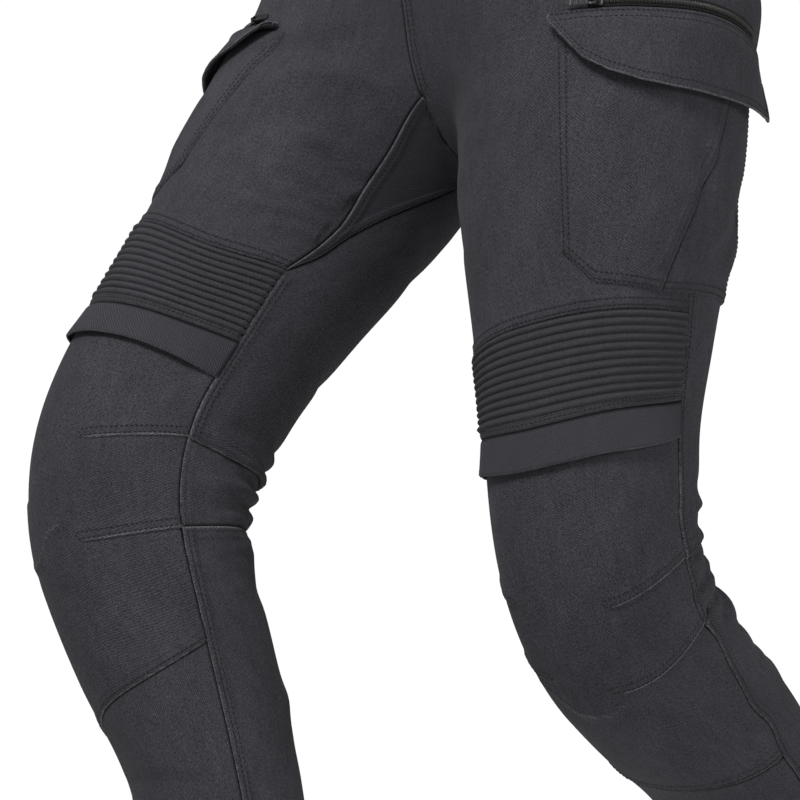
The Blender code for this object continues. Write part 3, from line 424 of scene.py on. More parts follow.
def shin_direction(side):
    """Direction of a leg's shin, from the knee to the ankle."""
    thigh = thigh_direction(side)
    front, outer = leg_facing(side, np.array(KNEE_DOWN), thigh)
    bend = radians(POSE[side]["knee"])
    return cos(bend) * thigh - sin(bend) * front


PELVIS = np.array([0, sin(WAIST_TILT), -cos(WAIST_TILT)])


def hip_point(side):
    """A leg's hip, where its centre line bends away from the pelvis."""
    return np.array([side * HIP_SPACING, 0, 0]) + HIP_DOWN * PELVIS


def centre_line(side, down):
    """Point on the leg's centre line, its direction, and the leg's front and outer sides."""
    down = np.asarray(down, float)
    thigh, shin = thigh_direction(side), shin_direction(side)
    below_hip = (down - HIP_DOWN)[..., None]
    below_knee = (down - KNEE_DOWN)[..., None]
    hip = soft_ramp(below_hip, HIP_BEND)
    knee = soft_ramp(below_knee, KNEE_BEND)
    centre = hip_point(side) + PELVIS * (below_hip - hip) + thigh * (hip - knee) + shin * knee
    at_hip = np.clip((below_hip + HIP_BEND) / (2 * HIP_BEND), 0, 1)
    at_knee = np.clip((below_knee + KNEE_BEND) / (2 * KNEE_BEND), 0, 1)
    along = unit(PELVIS * (1 - at_hip) + thigh * (at_hip - at_knee) + shin * at_knee)
    front, outer = leg_facing(side, down, along)
    return centre, along, front, outer


def thigh_field(side, p):
    """Distance outside the straight thigh, round at its hip end."""
    thigh = thigh_direction(side)
    from_hip = p - hip_point(side)
    s = from_hip @ thigh
    across = from_hip - s[..., None] * thigh
    down = np.clip(HIP_DOWN + s, HIP_DOWN, KNEE_DOWN)
    front, outer = leg_facing(side, down, np.broadcast_to(thigh, p.shape))
    a, b = (across * front).sum(-1), (across * outer).sum(-1)
    r = np.sqrt(a * a + b * b) + 1e-9
    over = np.minimum(s, 0)
    return np.sqrt(r * r + over * over) - leg_section(down, a / r, b / r)


def hip_field(p):
    """Distance outside the hips and seat, round at the fork."""
    down = p @ PELVIS
    y = p[..., 1] * cos(WAIST_TILT) + p[..., 2] * sin(WAIST_TILT)
    width, front, back = (smooth_table(down, HIP_SECTIONS, k) for k in (1, 2, 3))
    depth = np.where(y < 0, front, back)
    below = np.maximum(down - SEAT_DOWN, 0) / SEAT_DEPTH
    n = HIP_SQUARENESS
    ring = (np.abs(p[..., 0] / width) ** n + np.abs(y / depth) ** n) ** (1 / n)
    return (np.sqrt(ring * ring + below * below) - 1) * HIP_FIELD


def soft_union(a, b):
    h = np.clip(UNION - np.abs(a - b), 0, None) / UNION
    return np.minimum(a, b) - h * h * UNION / 4


def body_field(p):
    """Below 0 inside the trousers, and above 0 outside them."""
    legs = soft_union(thigh_field(+1, p), thigh_field(-1, p))
    return soft_union(legs, hip_field(p))


def reach(start, direction, side=0):
    """Distance from start to the form's outside, or to the middle plane, by halving."""
    low = np.zeros(direction.shape[:-1])
    high = np.full(direction.shape[:-1], 0.30)
    for _ in range(26):
        half = (low + high) / 2
        p = start + half[..., None] * direction
        outside = (body_field(p) > 0) | (side * p[..., 0] < 0)
        high = np.where(outside, half, high)
        low = np.where(outside, low, half)
    return (low + high) / 2


def field_normal(p):
    step = 2e-4
    slopes = [body_field(p + step * axis) - body_field(p - step * axis) for axis in np.eye(3)]
    return unit(np.stack(slopes, -1))


def fold_height(side, down, angle, reach_out):
    """Sum of the folds' ridges and troughs at each point of a leg."""
    total = np.zeros(np.shape(down))
    for leg, down_a, angle_a, down_b, angle_b, height, half_width in FOLDS:
        if leg != side:
            continue
        dx = down_b - down_a
        dy = radians(angle_b - angle_a) * reach_out
        x = down - down_a
        y = (np.remainder(angle - radians(angle_a) + np.pi, 2 * np.pi) - np.pi) * reach_out
        if angle_b - angle_a > 0:
            y = np.where(y < -0.6 * dy, y + 2 * np.pi * reach_out, y)
        length = np.sqrt(dx * dx + dy * dy)
        share = (x * dx + y * dy) / length**2
        away = (x * dy - y * dx) / length
        ends = soft_step(np.minimum(share, 1 - share) / 0.25)
        total = total + height * ends * np.exp(-((away / half_width) ** 2))
    return total


def form_point(side, down, angle):
    """Point on the trousers' outside. Angle in radians."""
    down, angle = np.broadcast_arrays(np.asarray(down, float), np.asarray(angle, float))
    centre, along, front, outer = centre_line(side, down)
    direction = np.cos(angle)[..., None] * front + np.sin(angle)[..., None] * outer
    out = np.array(leg_section(np.clip(down, HIP_DOWN, 1.01), np.cos(angle), np.sin(angle)))
    upper = down < FORK_DOWN
    if upper.any():
        out[upper] = reach(centre[upper], direction[upper], side)
    out = out + fold_height(side, down, angle, out)
    return centre + out[..., None] * direction


def form_normal(side, down, angle):
    down, angle = np.broadcast_arrays(np.asarray(down, float), np.asarray(angle, float))
    step_down, step_angle = 0.002, 0.02
    d_down = form_point(side, down + step_down, angle) - form_point(side, down - step_down, angle)
    d_angle = form_point(side, down, angle + step_angle) - form_point(side, down, angle - step_angle)
    normal = unit(np.cross(d_angle, d_down))
    centre, along, front, outer = centre_line(side, down)
    direction = np.cos(angle)[..., None] * front + np.sin(angle)[..., None] * outer
    normal = normal * np.sign((normal * direction).sum(-1, keepdims=True))
    near_fork = (down < FORK_DOWN) & (side * form_point(side, down, angle)[..., 0] < 0.020)
    return np.where(near_fork[..., None], field_normal(form_point(side, down, angle)), normal)


def middle_angle(side, down, front_or_back):
    """Angle at which a leg's ring meets the middle plane. front_or_back is -1 or +1."""
    down = np.asarray(down, float)
    centre, along, front, outer = centre_line(side, down)
    line = unit(np.cross(along, np.array([1.0, 0, 0])))
    line = line * np.sign(line[..., 1:2]) * front_or_back
    across = unit(np.array([1.0, 0, 0]) - along[..., 0:1] * along)
    start = centre + across * ((side * HALF_SEAM - centre[..., 0]) / across[..., 0])[..., None]
    point = start + reach(start, line)[..., None] * line
    from_centre = point - centre
    angle = np.arctan2((from_centre * outer).sum(-1), (from_centre * front).sum(-1))
    return np.where(angle > 0, angle - 2 * np.pi, angle)


def gusset_corner(side, is_back):
    """Down and angle at which a leg's ring passes through a corner of the gusset."""
    slope = GUSSET_CORNERS[is_back]
    direction = np.array([0, cos(slope) if is_back else -cos(slope), -sin(slope)])
    corner = FORK_INSIDE + direction * float(reach(FORK_INSIDE, direction))
    low, high = 0.10, 0.36
    for _ in range(40):
        down = (low + high) / 2
        centre, along, front, outer = centre_line(side, np.array(down))
        if (corner - centre) @ along > 0:
            low = down
        else:
            high = down
    angle = np.arctan2((corner - centre) @ outer, (corner - centre) @ front)
    return down, angle - 2 * np.pi if angle > 0 else angle


CORNERS = {(side, is_back): gusset_corner(side, is_back) for side in (+1, -1) for is_back in (False, True)}


def inner_angle(side, down, is_back):
    """Angle of the inner edge: the middle plane, the gusset's seam, then the inseam."""
    down = np.asarray(down, float)
    corner, corner_angle = CORNERS[side, is_back]
    rows = ((corner, np.degrees(corner_angle)),) + GUSSET_SEAMS[is_back]
    seam = np.radians(smooth_line(np.clip(down, corner, GUSSET_TIP_DOWN), rows))
    angle = np.where(down > GUSSET_TIP_DOWN, radians(INSEAM), seam)
    above = down < corner
    if above.any():
        middle = middle_angle(side, np.minimum(down, corner), +1 if is_back else -1)
        angle = np.where(above, middle, angle)
    return angle


def outer_angle(down):
    """The outer seam, drawn a little to and fro by the gathers at the knee and below."""
    drawn = soft_step((down - 0.50) / 0.05) * soft_step((0.96 - down) / 0.06)
    sway = np.sin(down / 0.0125 + 0.6) + 0.6 * np.sin(down / 0.0071 + 1.0)
    return np.radians(smooth_line(down, OUTSEAM) + SEAM_SWAY * drawn * sway)


def cell_shares(length, cell=CELL, fine_start=True, fine_end=True):
    """Shares along a length, with fine cells beside the ends that carry a seam."""
    x = np.linspace(0, length, 1500)
    near = np.full(x.shape, length)
    if fine_start:
        near = np.minimum(near, x)
    if fine_end:
        near = np.minimum(near, length - x)
    size = FINE_CELL + (cell - FINE_CELL) * soft_step((near - 0.002) / 0.014)
    count = np.concatenate([[0], np.cumsum((1 / size[1:] + 1 / size[:-1]) / 2 * np.diff(x))])
    cells = int(np.ceil(count[-1]))
    return np.interp(np.linspace(0, count[-1], cells + 1), count, x) / length


def waves(s, seed):
    """Uneven ripple along a seam, between about -1 and 1."""
    ripple = np.sin(2 * pi * s / 0.0071 + 1.3 * seed) + 0.8 * np.sin(2 * pi * s / 0.0113 + 2.1 * seed)
    return (ripple + 0.6 * np.sin(2 * pi * s / 0.0183 + 0.7 * seed)) / 2.4


def run_lengths(points, axis):
    """Length along the grid's lines from their first point."""
    steps = np.linalg.norm(np.diff(points, axis=axis), axis=-1)
    start = np.zeros_like(np.take(steps, [0], axis))
    return np.concatenate([start, np.cumsum(steps, axis)], axis)


def grid_normals(points, outwards):
    """Normals of a grid of points, turned to the side on which outwards lies."""
    normal = unit(np.cross(np.gradient(points, axis=0), np.gradient(points, axis=1)) + 1e-15)
    if (normal * outwards).sum() < 0:
        normal = -normal
    return normal


def path_distance(down, angle, out, path):
    """Signed distance from a path drawn on a leg, and the share of the path reached there."""
    nearest = np.full(down.shape, 1e9)
    signed = np.zeros(down.shape)
    share = np.zeros(down.shape)
    pieces = len(path) - 1
    for k in range(pieces):
        (down_a, angle_a), (down_b, angle_b) = path[k], path[k + 1]
        turn = angle - radians((angle_a + angle_b) / 2)
        turn = np.remainder(turn + pi, 2 * pi) - pi
        dx = down_b - down_a
        dy = radians(angle_b - angle_a) * out
        x = down - (down_a + down_b) / 2 + dx / 2
        y = turn * out + dy / 2
        length = np.sqrt(dx * dx + dy * dy) + 1e-9
        t = (x * dx + y * dy) / length**2
        held = np.clip(t, 0, 1)
        away = np.hypot(x - held * dx, y - held * dy)
        closer = away < nearest
        nearest = np.where(closer, away, nearest)
        signed = np.where(closer, np.where(x * dy - y * dx > 0, away, -away), signed)
        share = np.where(closer, (k + held) / pieces, share)
    return signed, share


def crease_height(side, down, angle, out):
    """Sum of the soft creases: uneven ridges and troughs, steeper on one side."""
    total = np.zeros(down.shape)
    for number, (leg, height, width, path) in enumerate(CREASES):
        if leg != side:
            continue
        downs = [d for d, a in path]
        if down.max() < min(downs) - 0.03 or down.min() > max(downs) + 0.03:
            continue
        away, share = path_distance(down, angle, out, path)
        bend = 0.35 * width * np.sin(9.0 * share + 1.7 * number)
        size = 0.80 + 0.25 * np.sin(6.1 * share + 2.3 * number)
        spread = width * np.where(away + bend > 0, 0.75, 1.35)
        ends = soft_step(share / 0.22) * soft_step((1 - share) / 0.12)
        total = total + height * size * ends * np.exp(-(((away + bend) / spread) ** 2))
    return total


def cloth_point(side, down, angle):
    """Point of the trousers' cloth with its soft creases, and its outward normal."""
    points = form_point(side, down, angle)
    normals = form_normal(side, down, angle)
    centre = centre_line(side, down)[0]
    out = np.linalg.norm(points - centre, axis=-1)
    return points + normals * crease_height(side, down, angle, out)[..., None], normals


def surface_grid(side, down, angle):
    """Points and normals of a fine grid on a leg, creases included."""
    points = form_point(side, down, angle)
    from_centre = points - centre_line(side, down)[0]
    normals = grid_normals(points, from_centre)
    out = np.linalg.norm(from_centre, axis=-1)
    points = points + normals * crease_height(side, down, angle, out)[..., None]
    return points, grid_normals(points, from_centre)


def lap(kind, distance, along, seed):
    """Height of a seam's edge: an upper edge (kind 1) lies folded over, a lower one (-1) sinks."""
    ripple = 1 + 0.30 * waves(along, seed)
    upper = LAP_HEIGHT * (1 - soft_step((distance - LAP_WIDTH) / 0.004)) * ripple
    upper = upper - 0.0006 * np.clip(1 - distance / 0.0012, 0, 1) ** 2
    lower = -SINK * (1 - soft_step(distance / SINK_WIDTH))
    pucker = PUCKER * waves(along, seed + 4) * (1 - soft_step((distance - 0.003) / 0.012))
    return np.where(kind > 0, kind * upper, -kind * lower) + np.abs(kind) * pucker


def worn_edge(kind, distance):
    """How far a folded edge is rubbed pale, from 0 to 1."""
    return np.clip(kind, 0, 1) * (1 - soft_step((distance - 0.0001) / WEAR_WIDTH))


def seam_shadow(kind, distance):
    """Painted shade in a seam: beside a lower edge, and in the rows sewn along an upper one."""
    beside = np.clip(-kind, 0, 1) * (1 - soft_step((distance - 0.0006) / 0.0026))
    rows = sum(np.exp(-(((distance - row - EDGE_LAP) / 0.0007) ** 2)) for row in (ROW_NEAR, ROW_FAR))
    return np.maximum(beside, 0.35 * np.clip(kind, 0, 1) * rows)


def lay(piece, points, normals, kinds, wear_and_painted_shade=0.0, raise_by=0.0):
    """Finishes a piece's grid: laps its four edges, stores how far they are rubbed pale and the painted seam
    shade, and keeps the rows that sewing follows.

    kinds gives for top, bottom, left and right the edge's kind, one number or one per point.
    """
    rows, columns = points.shape[:2]
    top, bottom, left, right = kinds
    shape = {"top": (1, columns), "bottom": (1, columns), "left": (rows, 1), "right": (rows, 1)}
    kind = {name: np.zeros(shape[name]) + np.reshape(value, shape[name] if np.ndim(value) else (1, 1))
            for name, value in zip(("top", "bottom", "left", "right"), (top, bottom, left, right))}
    down_run, across_run = run_lengths(points, 0), run_lengths(points, 1)
    distance = {"top": down_run, "bottom": down_run[-1:] - down_run,
                "left": across_run, "right": across_run[:, -1:] - across_run}
    along = {"top": across_run, "bottom": across_run, "left": down_run, "right": down_run}
    height = np.zeros((rows, columns)) + raise_by
    rubbed_and_painted_shade = np.zeros((rows, columns)) + wear_and_painted_shade
    shadow = np.zeros((rows, columns))
    for number, name in enumerate(("top", "bottom", "left", "right")):
        height = height + lap(kind[name], distance[name], along[name], number + 3 * len(piece))
        rubbed_and_painted_shade = np.maximum(rubbed_and_painted_shade, worn_edge(kind[name], distance[name]))
        shadow = np.maximum(shadow, seam_shadow(kind[name], distance[name]))
    # Rubbed pale edges stay positive; elsewhere the painted shade of the seam is stored as a negative value.
    rubbed_and_painted_shade = np.where(rubbed_and_painted_shade > 0.03, rubbed_and_painted_shade, np.minimum(rubbed_and_painted_shade, -shadow))
    grain = np.stack([across_run - across_run[:, columns // 2:columns // 2 + 1], down_run, 0 * down_run], -1)
    points = points + normals * height[..., None]
    for name, edge, inner in (("top", (0,), (1,)), ("bottom", (-1,), (-2,))):
        step = unit(points[edge[0]] - points[inner[0]])
        points[edge[0]] += step * np.clip(kind[name][0], 0, 1)[:, None] * EDGE_LAP
    for name, edge, inner in (("left", 0, 1), ("right", -1, -2)):
        step = unit(points[:, edge] - points[:, inner])
        points[:, edge] += step * np.clip(kind[name][:, 0], 0, 1)[:, None] * EDGE_LAP
    return dict(name=piece, points=points, normals=grid_normals(points, normals), grain=grain,
                wear_and_painted_shade=rubbed_and_painted_shade, distance=distance)


def cloth_shell(piece, material, thick=WALL, body="trousers"):
    """Mesh of a laid piece: its outside as a grid of faces, given the cloth's thickness."""
    points, grain = piece["points"], piece["grain"]
    rows, columns = points.shape[:2]
    index = np.arange(rows * columns).reshape(rows, columns)
    faces = np.stack([index[:-1, :-1], index[1:, :-1], index[1:, 1:], index[:-1, 1:]], -1).reshape(-1, 4)
    middle = rows // 2, columns // 2
    across = np.cross(points[middle[0] + 1, middle[1]] - points[middle],
                      points[middle[0], middle[1] + 1] - points[middle])
    if across @ piece["normals"][middle] < 0:
        faces = faces[:, ::-1]
    mesh = bpy.data.meshes.new(piece["name"])
    mesh.from_pydata(points.reshape(-1, 3).tolist(), [], faces.tolist())
    add_point_values(mesh, "grain", grain.reshape(-1, 3))
    # This attribute holds rubbed pale edges as positive values and painted shade as negative ones.
    add_point_values(mesh, "wear_and_painted_shade", piece["wear_and_painted_shade"].reshape(-1))
    obj = place(piece["name"] + "_cloth", mesh, material, body)
    shell = obj.modifiers.new("cloth thickness", "SOLIDIFY")
    shell.thickness = thick
    shell.offset = -1
    return obj


def add_point_values(mesh, name, values):
    """Stores a value or a vector for each point, for the materials to read."""
    kind, field = ("FLOAT_VECTOR", "vector") if values.ndim == 2 else ("FLOAT", "value")
    attribute = mesh.attributes.new(name, kind, "POINT")
    attribute.data.foreach_set(field, np.ascontiguousarray(values, np.float32).ravel())


def place(name, mesh, material, body="trousers", smooth=True):
    """Adds a mesh to the scene with its material, riding on its body."""
    mesh.materials.append(material)
    mesh.polygons.foreach_set("use_smooth", [smooth] * len(mesh.polygons))
    obj = bpy.data.objects.new(name, mesh)
    bpy.context.scene.collection.objects.link(obj)
    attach(obj, body)
    return obj


def row_along(piece, edge, distance):
    """Points and normals of the line that keeps a distance from one edge of a laid piece."""
    points, normals, away = piece["points"], piece["normals"], piece["distance"][edge]
    if edge in ("top", "bottom"):
        points, normals, away = points.transpose(1, 0, 2), normals.transpose(1, 0, 2), away.T
    if edge in ("bottom", "right"):
        points, normals, away = points[:, ::-1], normals[:, ::-1], away[:, ::-1]
    distance = np.broadcast_to(distance, (len(points),))
    line = [[np.interp(d, a, p[:, k]) for k in range(3)] for d, a, p in zip(distance, away, points)]
    facing = [[np.interp(d, a, n[:, k]) for k in range(3)] for d, a, n in zip(distance, away, normals)]
    return np.array(line), np.array(facing)


def span(line, start, end):
    """The part of a row between two lengths along it. A negative end counts from its end."""
    points, normals = line
    s = run_lengths(points[None], 1)[0]
    end = s[-1] + end if end <= 0 else end
    at = np.linspace(start, end, max(2, int((end - start) / 0.002)))
    return (np.stack([np.interp(at, s, points[:, k]) for k in range(3)], -1),
            np.stack([np.interp(at, s, normals[:, k]) for k in range(3)], -1))


SEWING = {}


def sew(thread, line, start=0.002, end=-0.002, pitch=PITCH):
    """Adds a row of stitches along a line to what that thread sews."""
    points, normals = span(line, start, end)
    s = run_lengths(points[None], 1)[0]
    count = int(s[-1] / pitch)
    if count < 1:
        return
    at = (np.arange(count) + 0.5) * s[-1] / count
    centre, before, after, normal = (
        np.stack([np.interp(x, s, values[:, k]) for k in range(3)], -1)
        for x, values in ((at, points), (at - 0.001, points), (at + 0.001, points), (at, normals)))
    SEWING.setdefault(thread, []).append((centre, unit(after - before), unit(normal)))


def stitch_shape():
    """One stitch: a short plump arc of thread whose ends go down into the cloth."""
    rings = ((-0.50, 0.55, -0.00030), (-0.30, 1.0, 0.00008), (0.30, 1.0, 0.00008), (0.50, 0.55, -0.00030))
    around = [radians(a) for a in (-20, 50, 130, 200)]
    verts = [(share * STITCH, fat * THREAD * cos(a), rise + fat * THREAD * 0.8 * sin(a))
             for share, fat, rise in rings for a in around]
    across = len(around)
    faces = [(r * across + k, r * across + k + 1, (r + 1) * across + k + 1, (r + 1) * across + k)
             for r in range(len(rings) - 1) for k in range(across - 1)]
    faces += [tuple(range(across - 1, -1, -1)), tuple(range((len(rings) - 1) * across, len(rings) * across))]
    faces += [((r + 1) * across, (r + 1) * across + across - 1, r * across + across - 1, r * across)
              for r in range(len(rings) - 1)]
    return np.array(verts), faces


def make_sewing(thread, name, material, body="trousers"):
    """All of one thread's stitches as one mesh."""
    shape, shape_faces = stitch_shape()
    centre, along, normal = (np.concatenate([row[k] for row in SEWING[thread]]) for k in range(3))
    beside = unit(np.cross(normal, along))
    normal = np.cross(along, beside)
    verts = (centre[:, None] + shape[None, :, :1] * along[:, None] + shape[None, :, 1:2] * beside[:, None]
             + shape[None, :, 2:] * normal[:, None]).reshape(-1, 3)
    faces = [tuple(k * len(shape) + v for v in face) for k in range(len(centre)) for face in shape_faces]
    mesh = bpy.data.meshes.new(name)
    mesh.from_pydata(verts.tolist(), [], faces)
    along_thread = np.tile(shape * (1, 1, 0), (len(centre), 1))
    add_point_values(mesh, "grain", along_thread)
    return place(name, mesh, material, body)


def level(start, end):
    """A line straight across a panel, from the down of its first edge to that of its last."""
    return ((0.0, start), (1.0, end))


def panel_lines(side, name):
    """Lines that cross a panel from edge to edge, from its top to its bottom."""
    front, back = FRONT_LINES, BACK_LINES
    waist = front["waist"][0][1]
    ribs_in, ribs_out = front["ribs_top"][0][1], front["ribs_top"][-1][1]
    shin_in, shin_out = front["shin"][0][1], front["shin"][-1][1]
    half = (waist + ribs_out) / 2
    return {
        "front_thigh": (front["waist"], level(CORNERS[side, False][0], half), front["ribs_top"]),
        "back_thigh": (back["waist"], level(half, CORNERS[side, True][0]), level(ribs_out, ribs_in),
                       back["knee_top"]),
        "knee_panel": (front["ribs_bottom"], DARTS[side]["upper"], DARTS[side]["lower"], front["shin"]),
        "rib_panel": (front["ribs_top"], front["ribs_bottom"]),
        "knee_band": (front["ribs_bottom"], front["band_bottom"]),
        "back_knee": (back["knee_top"], back["knee_bottom"]),
        "back_calf": (back["knee_bottom"], level(shin_out, shin_in), back["hem"]),
        "shin_panel": (front["shin"], front["hem"]),
    }[name]


def panel_grid(side, name, cell, seams_inside=False, rows=None):
    """Down and angle of a panel's fine grid, and the rows that lie on its lines."""
    is_back = name.startswith("back")
    lines = panel_lines(side, name)
    middle = np.linspace(0, 1, 9)[None, :]
    middle_down = smooth_line(middle, lines[0]) * 0.5 + smooth_line(middle, lines[-1]) * 0.5
    across = panel_angles(side, is_back, middle_down, middle)
    width = run_lengths(form_point(side, middle_down, across), 1)[0, -1]
    share = cell_shares(width, cell)[None, :]
    levels = [smooth_line(share, line) for line in lines]
    down, marks = [levels[0]], [0]
    for k in range(len(levels) - 1):
        start, end = (form_point(side, level_down, panel_angles(side, is_back, level_down, share))[0]
                      for level_down in levels[k:k + 2])
        height = np.linalg.norm(end - start, axis=-1).max()
        fine_start = k == 0 or seams_inside
        fine_end = k == len(levels) - 2 or seams_inside
        part = cell_shares(height, cell, fine_start, fine_end) if rows is None else rows
        down.append(levels[k] + (levels[k + 1] - levels[k]) * part[1:, None])
        marks.append(marks[-1] + len(part) - 1)
    down = np.concatenate(down)
    return down, panel_angles(side, is_back, down, share), share, marks


def panel_angles(side, is_back, down, share):
    inner = inner_angle(side, down, is_back) + (2 * pi if is_back else 0)
    to_outer = 1 - share if is_back else share
    return inner + (outer_angle(down) - inner) * to_outer


def inner_kind(side, is_back, down):
    """Which way a panel's inner edge is lapped: the left leg's over the right one's at the middle,
    both under the gusset, and the back over the front down the inseam."""
    corner = CORNERS[side, is_back][0]
    above = soft_step((corner - down) / 0.006)
    below = soft_step((down - GUSSET_TIP_DOWN) / 0.004) * (1 if is_back else -1)
    beside_gusset = -(1 - above) * (1 - soft_step((down - GUSSET_TIP_DOWN) / 0.004))
    return above * side + below + beside_gusset


def make_panels(side, finish):
    """The panels of one leg, each with its seams, and the rows of sewing along them."""
    suffix = "_left" if side > 0 else "_right"
    made = {}
    edges = {
        "front_thigh": (-1, +1), "back_thigh": (-1, +1), "rib_panel": (-1, +1), "knee_panel": (-1, +1),
        "back_knee": (-1, -1), "back_calf": (+1, 0), "shin_panel": (-1, 0),
    }
    for name, (top, bottom) in edges.items():
        is_back = name.startswith("back")
        cell = KNEE_CELL if name in ("front_thigh", "knee_panel", "back_knee") else CELL
        rows = rib_rows() if name == "rib_panel" else None
        down, angle, share, marks = panel_grid(side, name, cell, name == "knee_panel", rows)
        points, normals = surface_grid(side, down, angle)
        raised, wear_and_painted_shade = 0.0, 0.0
        if name == "rib_panel":
            raised, wear_and_painted_shade = rib_height(points)
        if name == "knee_panel":
            raised, wear_and_painted_shade = knee_height(side, down, angle, share, points, marks)
        inner, outer = inner_kind(side, is_back, down[:, -1 if is_back else 0]), 1.0 if is_back else -1.0
        left, right = (outer, inner) if is_back else (inner, outer)
        piece = lay(name + suffix, points, normals, (top, bottom, left, right), wear_and_painted_shade, raised)
        piece["down"], piece["angle"], piece["marks"], piece["share"] = down, angle, marks, share
        made[name] = piece
        material = finish["ribs"] if name == "rib_panel" else finish["twill"]
        shell = cloth_shell(piece, material)
        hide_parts(name + suffix)
    return made


def rib_rows():
    """Shares down the ribbed panel: each rib has steps that close up in its valleys."""
    steps = np.array([0.04, 0.12, 0.26, 0.42, 0.58, 0.74, 0.88, 0.96])
    shares = np.concatenate([(k + steps) / RIBS for k in range(RIBS)])
    return np.concatenate([[0.0], shares, [1.0]])


def rib_height(points):
    """Round ribs with narrow stitched valleys, the last one pressed flat; also their rubbed crests and the
    painted shade in their valleys.
    """
    shares = rib_rows()
    rib = np.clip((shares * RIBS).astype(int), 0, RIBS - 1)
    within = shares * RIBS - rib
    crown = np.clip(np.sin(pi * np.clip(within, 0, 1)), 0, 1) ** 0.62
    crown = crown[:, None]
    along = run_lengths(points, 1)
    lumps = 1 + 0.07 * waves(along, rib[:, None] * 1.7) + 0.04 * np.sin(2 * pi * along / 0.0031)
    across = run_lengths(points, 1)
    from_seam = np.minimum(across, across[:, -1:] - across)
    fade = 0.35 + 0.65 * soft_step(from_seam / 0.006)
    last = (rib == RIBS - 1)[:, None]
    height = np.where(last, 0.0011 * (0.6 + 0.4 * crown), RIB_HEIGHT * crown * lumps) * fade
    # Second value: crests rubbed pale as positive values, painted shade in the valleys as negative ones.
    return height, 0.22 * crown ** 3 - 1.1 * np.clip(1 - 1.25 * crown, 0, 1) + 0 * height


def knee_height(side, down, angle, share, points, marks):
    """Ledges of the four darts, and the faint edge of the knee protector inside."""
    height = np.zeros(down.shape)
    wear_and_painted_shade = np.zeros(down.shape)
    run = run_lengths(points, 0)
    for number, mark in enumerate(marks[1:3]):
        away = run - run[mark:mark + 1]
        tips = DARTS[side]["tips"][number]
        held = soft_step((tips[0] - share) / 0.05) + soft_step((share - tips[1]) / 0.05)
        above = LAP_HEIGHT * (1 - soft_step((-away - LAP_WIDTH) / 0.004))
        above = above * (1 + 0.25 * waves(run_lengths(points, 1), number + 2))
        below = -0.0007 * (1 - soft_step(away / 0.006))
        height = height + held * np.where(away <= 0, above, below)
        wear_and_painted_shade = np.maximum(wear_and_painted_shade, held * (1 - soft_step((np.abs(away + 0.0002) - 0.0003) / 0.0009)))
    out = np.linalg.norm(points - centre_line(side, down)[0], axis=-1)
    away, reached = path_distance(down, angle, out, PROTECTOR_EDGE)
    ends = soft_step(reached / 0.15) * soft_step((1 - reached) / 0.15)
    ridge = 0.0010 * np.exp(-((away / 0.0022) ** 2)) + 0.0010 * (1 - soft_step(away / 0.012 + 0.5))
    height = height + ends * ridge * (np.abs(away) < 0.03)
    wear_and_painted_shade = np.maximum(wear_and_painted_shade, 0.80 * ends * np.exp(-((away / 0.0014) ** 2)))
    return height, wear_and_painted_shade


def sew_panels(side, made):
    """Rows of topstitching along one leg's seams."""
    suffix = "_left" if side > 0 else "_right"
    dark, pale = "seams" + suffix, "ribs" + suffix
    thigh, back, ribs, knee = made["front_thigh"], made["back_thigh"], made["rib_panel"], made["knee_panel"]
    for distance in (ROW_NEAR, ROW_FAR):
        sew(dark, row_along(thigh, "bottom", distance + EDGE_LAP))
    if side > 0:
        for piece, edge in ((thigh, "left"), (back, "right")):
            line = row_along(piece, edge, ROW_NEAR + EDGE_LAP), row_along(piece, edge, 0.0056 + EDGE_LAP)
            corner = piece["down"][:, 0 if edge == "left" else -1] < CORNERS[1, piece is back][0] - 0.004
            for points, normals in line:
                sew(dark, (points[corner], normals[corner]))
    for piece in (back, made["back_knee"], made["back_calf"]):
        if piece is not made["back_knee"]:
            edge_down = piece["down"][:, -1]
            on_inseam = edge_down > GUSSET_TIP_DOWN + 0.004
            for distance in (ROW_NEAR + EDGE_LAP, 0.0048 + EDGE_LAP):
                points, normals = row_along(piece, "right", distance)
                sew(dark, (points[on_inseam], normals[on_inseam]))
        sew(dark, row_along(piece, "left", 0.0021 + EDGE_LAP))
    sew(dark, row_along(knee, "bottom", ROW_NEAR + EDGE_LAP))
    for name in ("shin_panel", "back_calf"):
        sew(dark, row_along(made[name], "bottom", 0.020))
    points, normals = ribs["points"], ribs["normals"]
    for k in range(1, RIBS):
        row = k * RIB_STEPS
        valley = (points[row] + points[row + 1]) / 2 + 0.00035 * normals[row]
        sew(pale, (valley, unit(normals[row] + normals[row + 1])), 0.004, -0.004, 0.0029)
    sew(dark, row_along(ribs, "bottom", 0.0022 + EDGE_LAP))
    for number, mark in enumerate(knee["marks"][1:3]):
        first, last = DARTS[side]["tips"][number]
        share = knee["share"][0]
        for low, high in ((0.0, first), (last, 1.0)):
            inside = (share >= low) & (share <= high)
            rows = []
            for distance in (0.0016, 0.0062):
                rows.append(offset_row(knee, mark, distance, inside))
                sew(dark, rows[-1], 0.003 if low == 0 else 0.0, -0.0001 if low == 0 else -0.003)
            end = -1 if low == 0 else 0
            box_end = tuple(np.stack([rows[0][k][end], rows[1][k][end]]) for k in range(2))
            sew(dark, box_end, 0.0002, -0.0001, 0.0024)


def offset_row(piece, mark, above, inside):
    """Line a little above one of the grid's marked rows, over the columns inside."""
    points, normals = piece["points"], piece["normals"]
    run = run_lengths(points, 0)
    line, facing = [], []
    for column in np.flatnonzero(inside):
        at = run[mark, column] - above
        line.append([np.interp(at, run[:, column], points[:, column, k]) for k in range(3)])
        facing.append([np.interp(at, run[:, column], normals[:, column, k]) for k in range(3)])
    return np.array(line), np.array(facing)


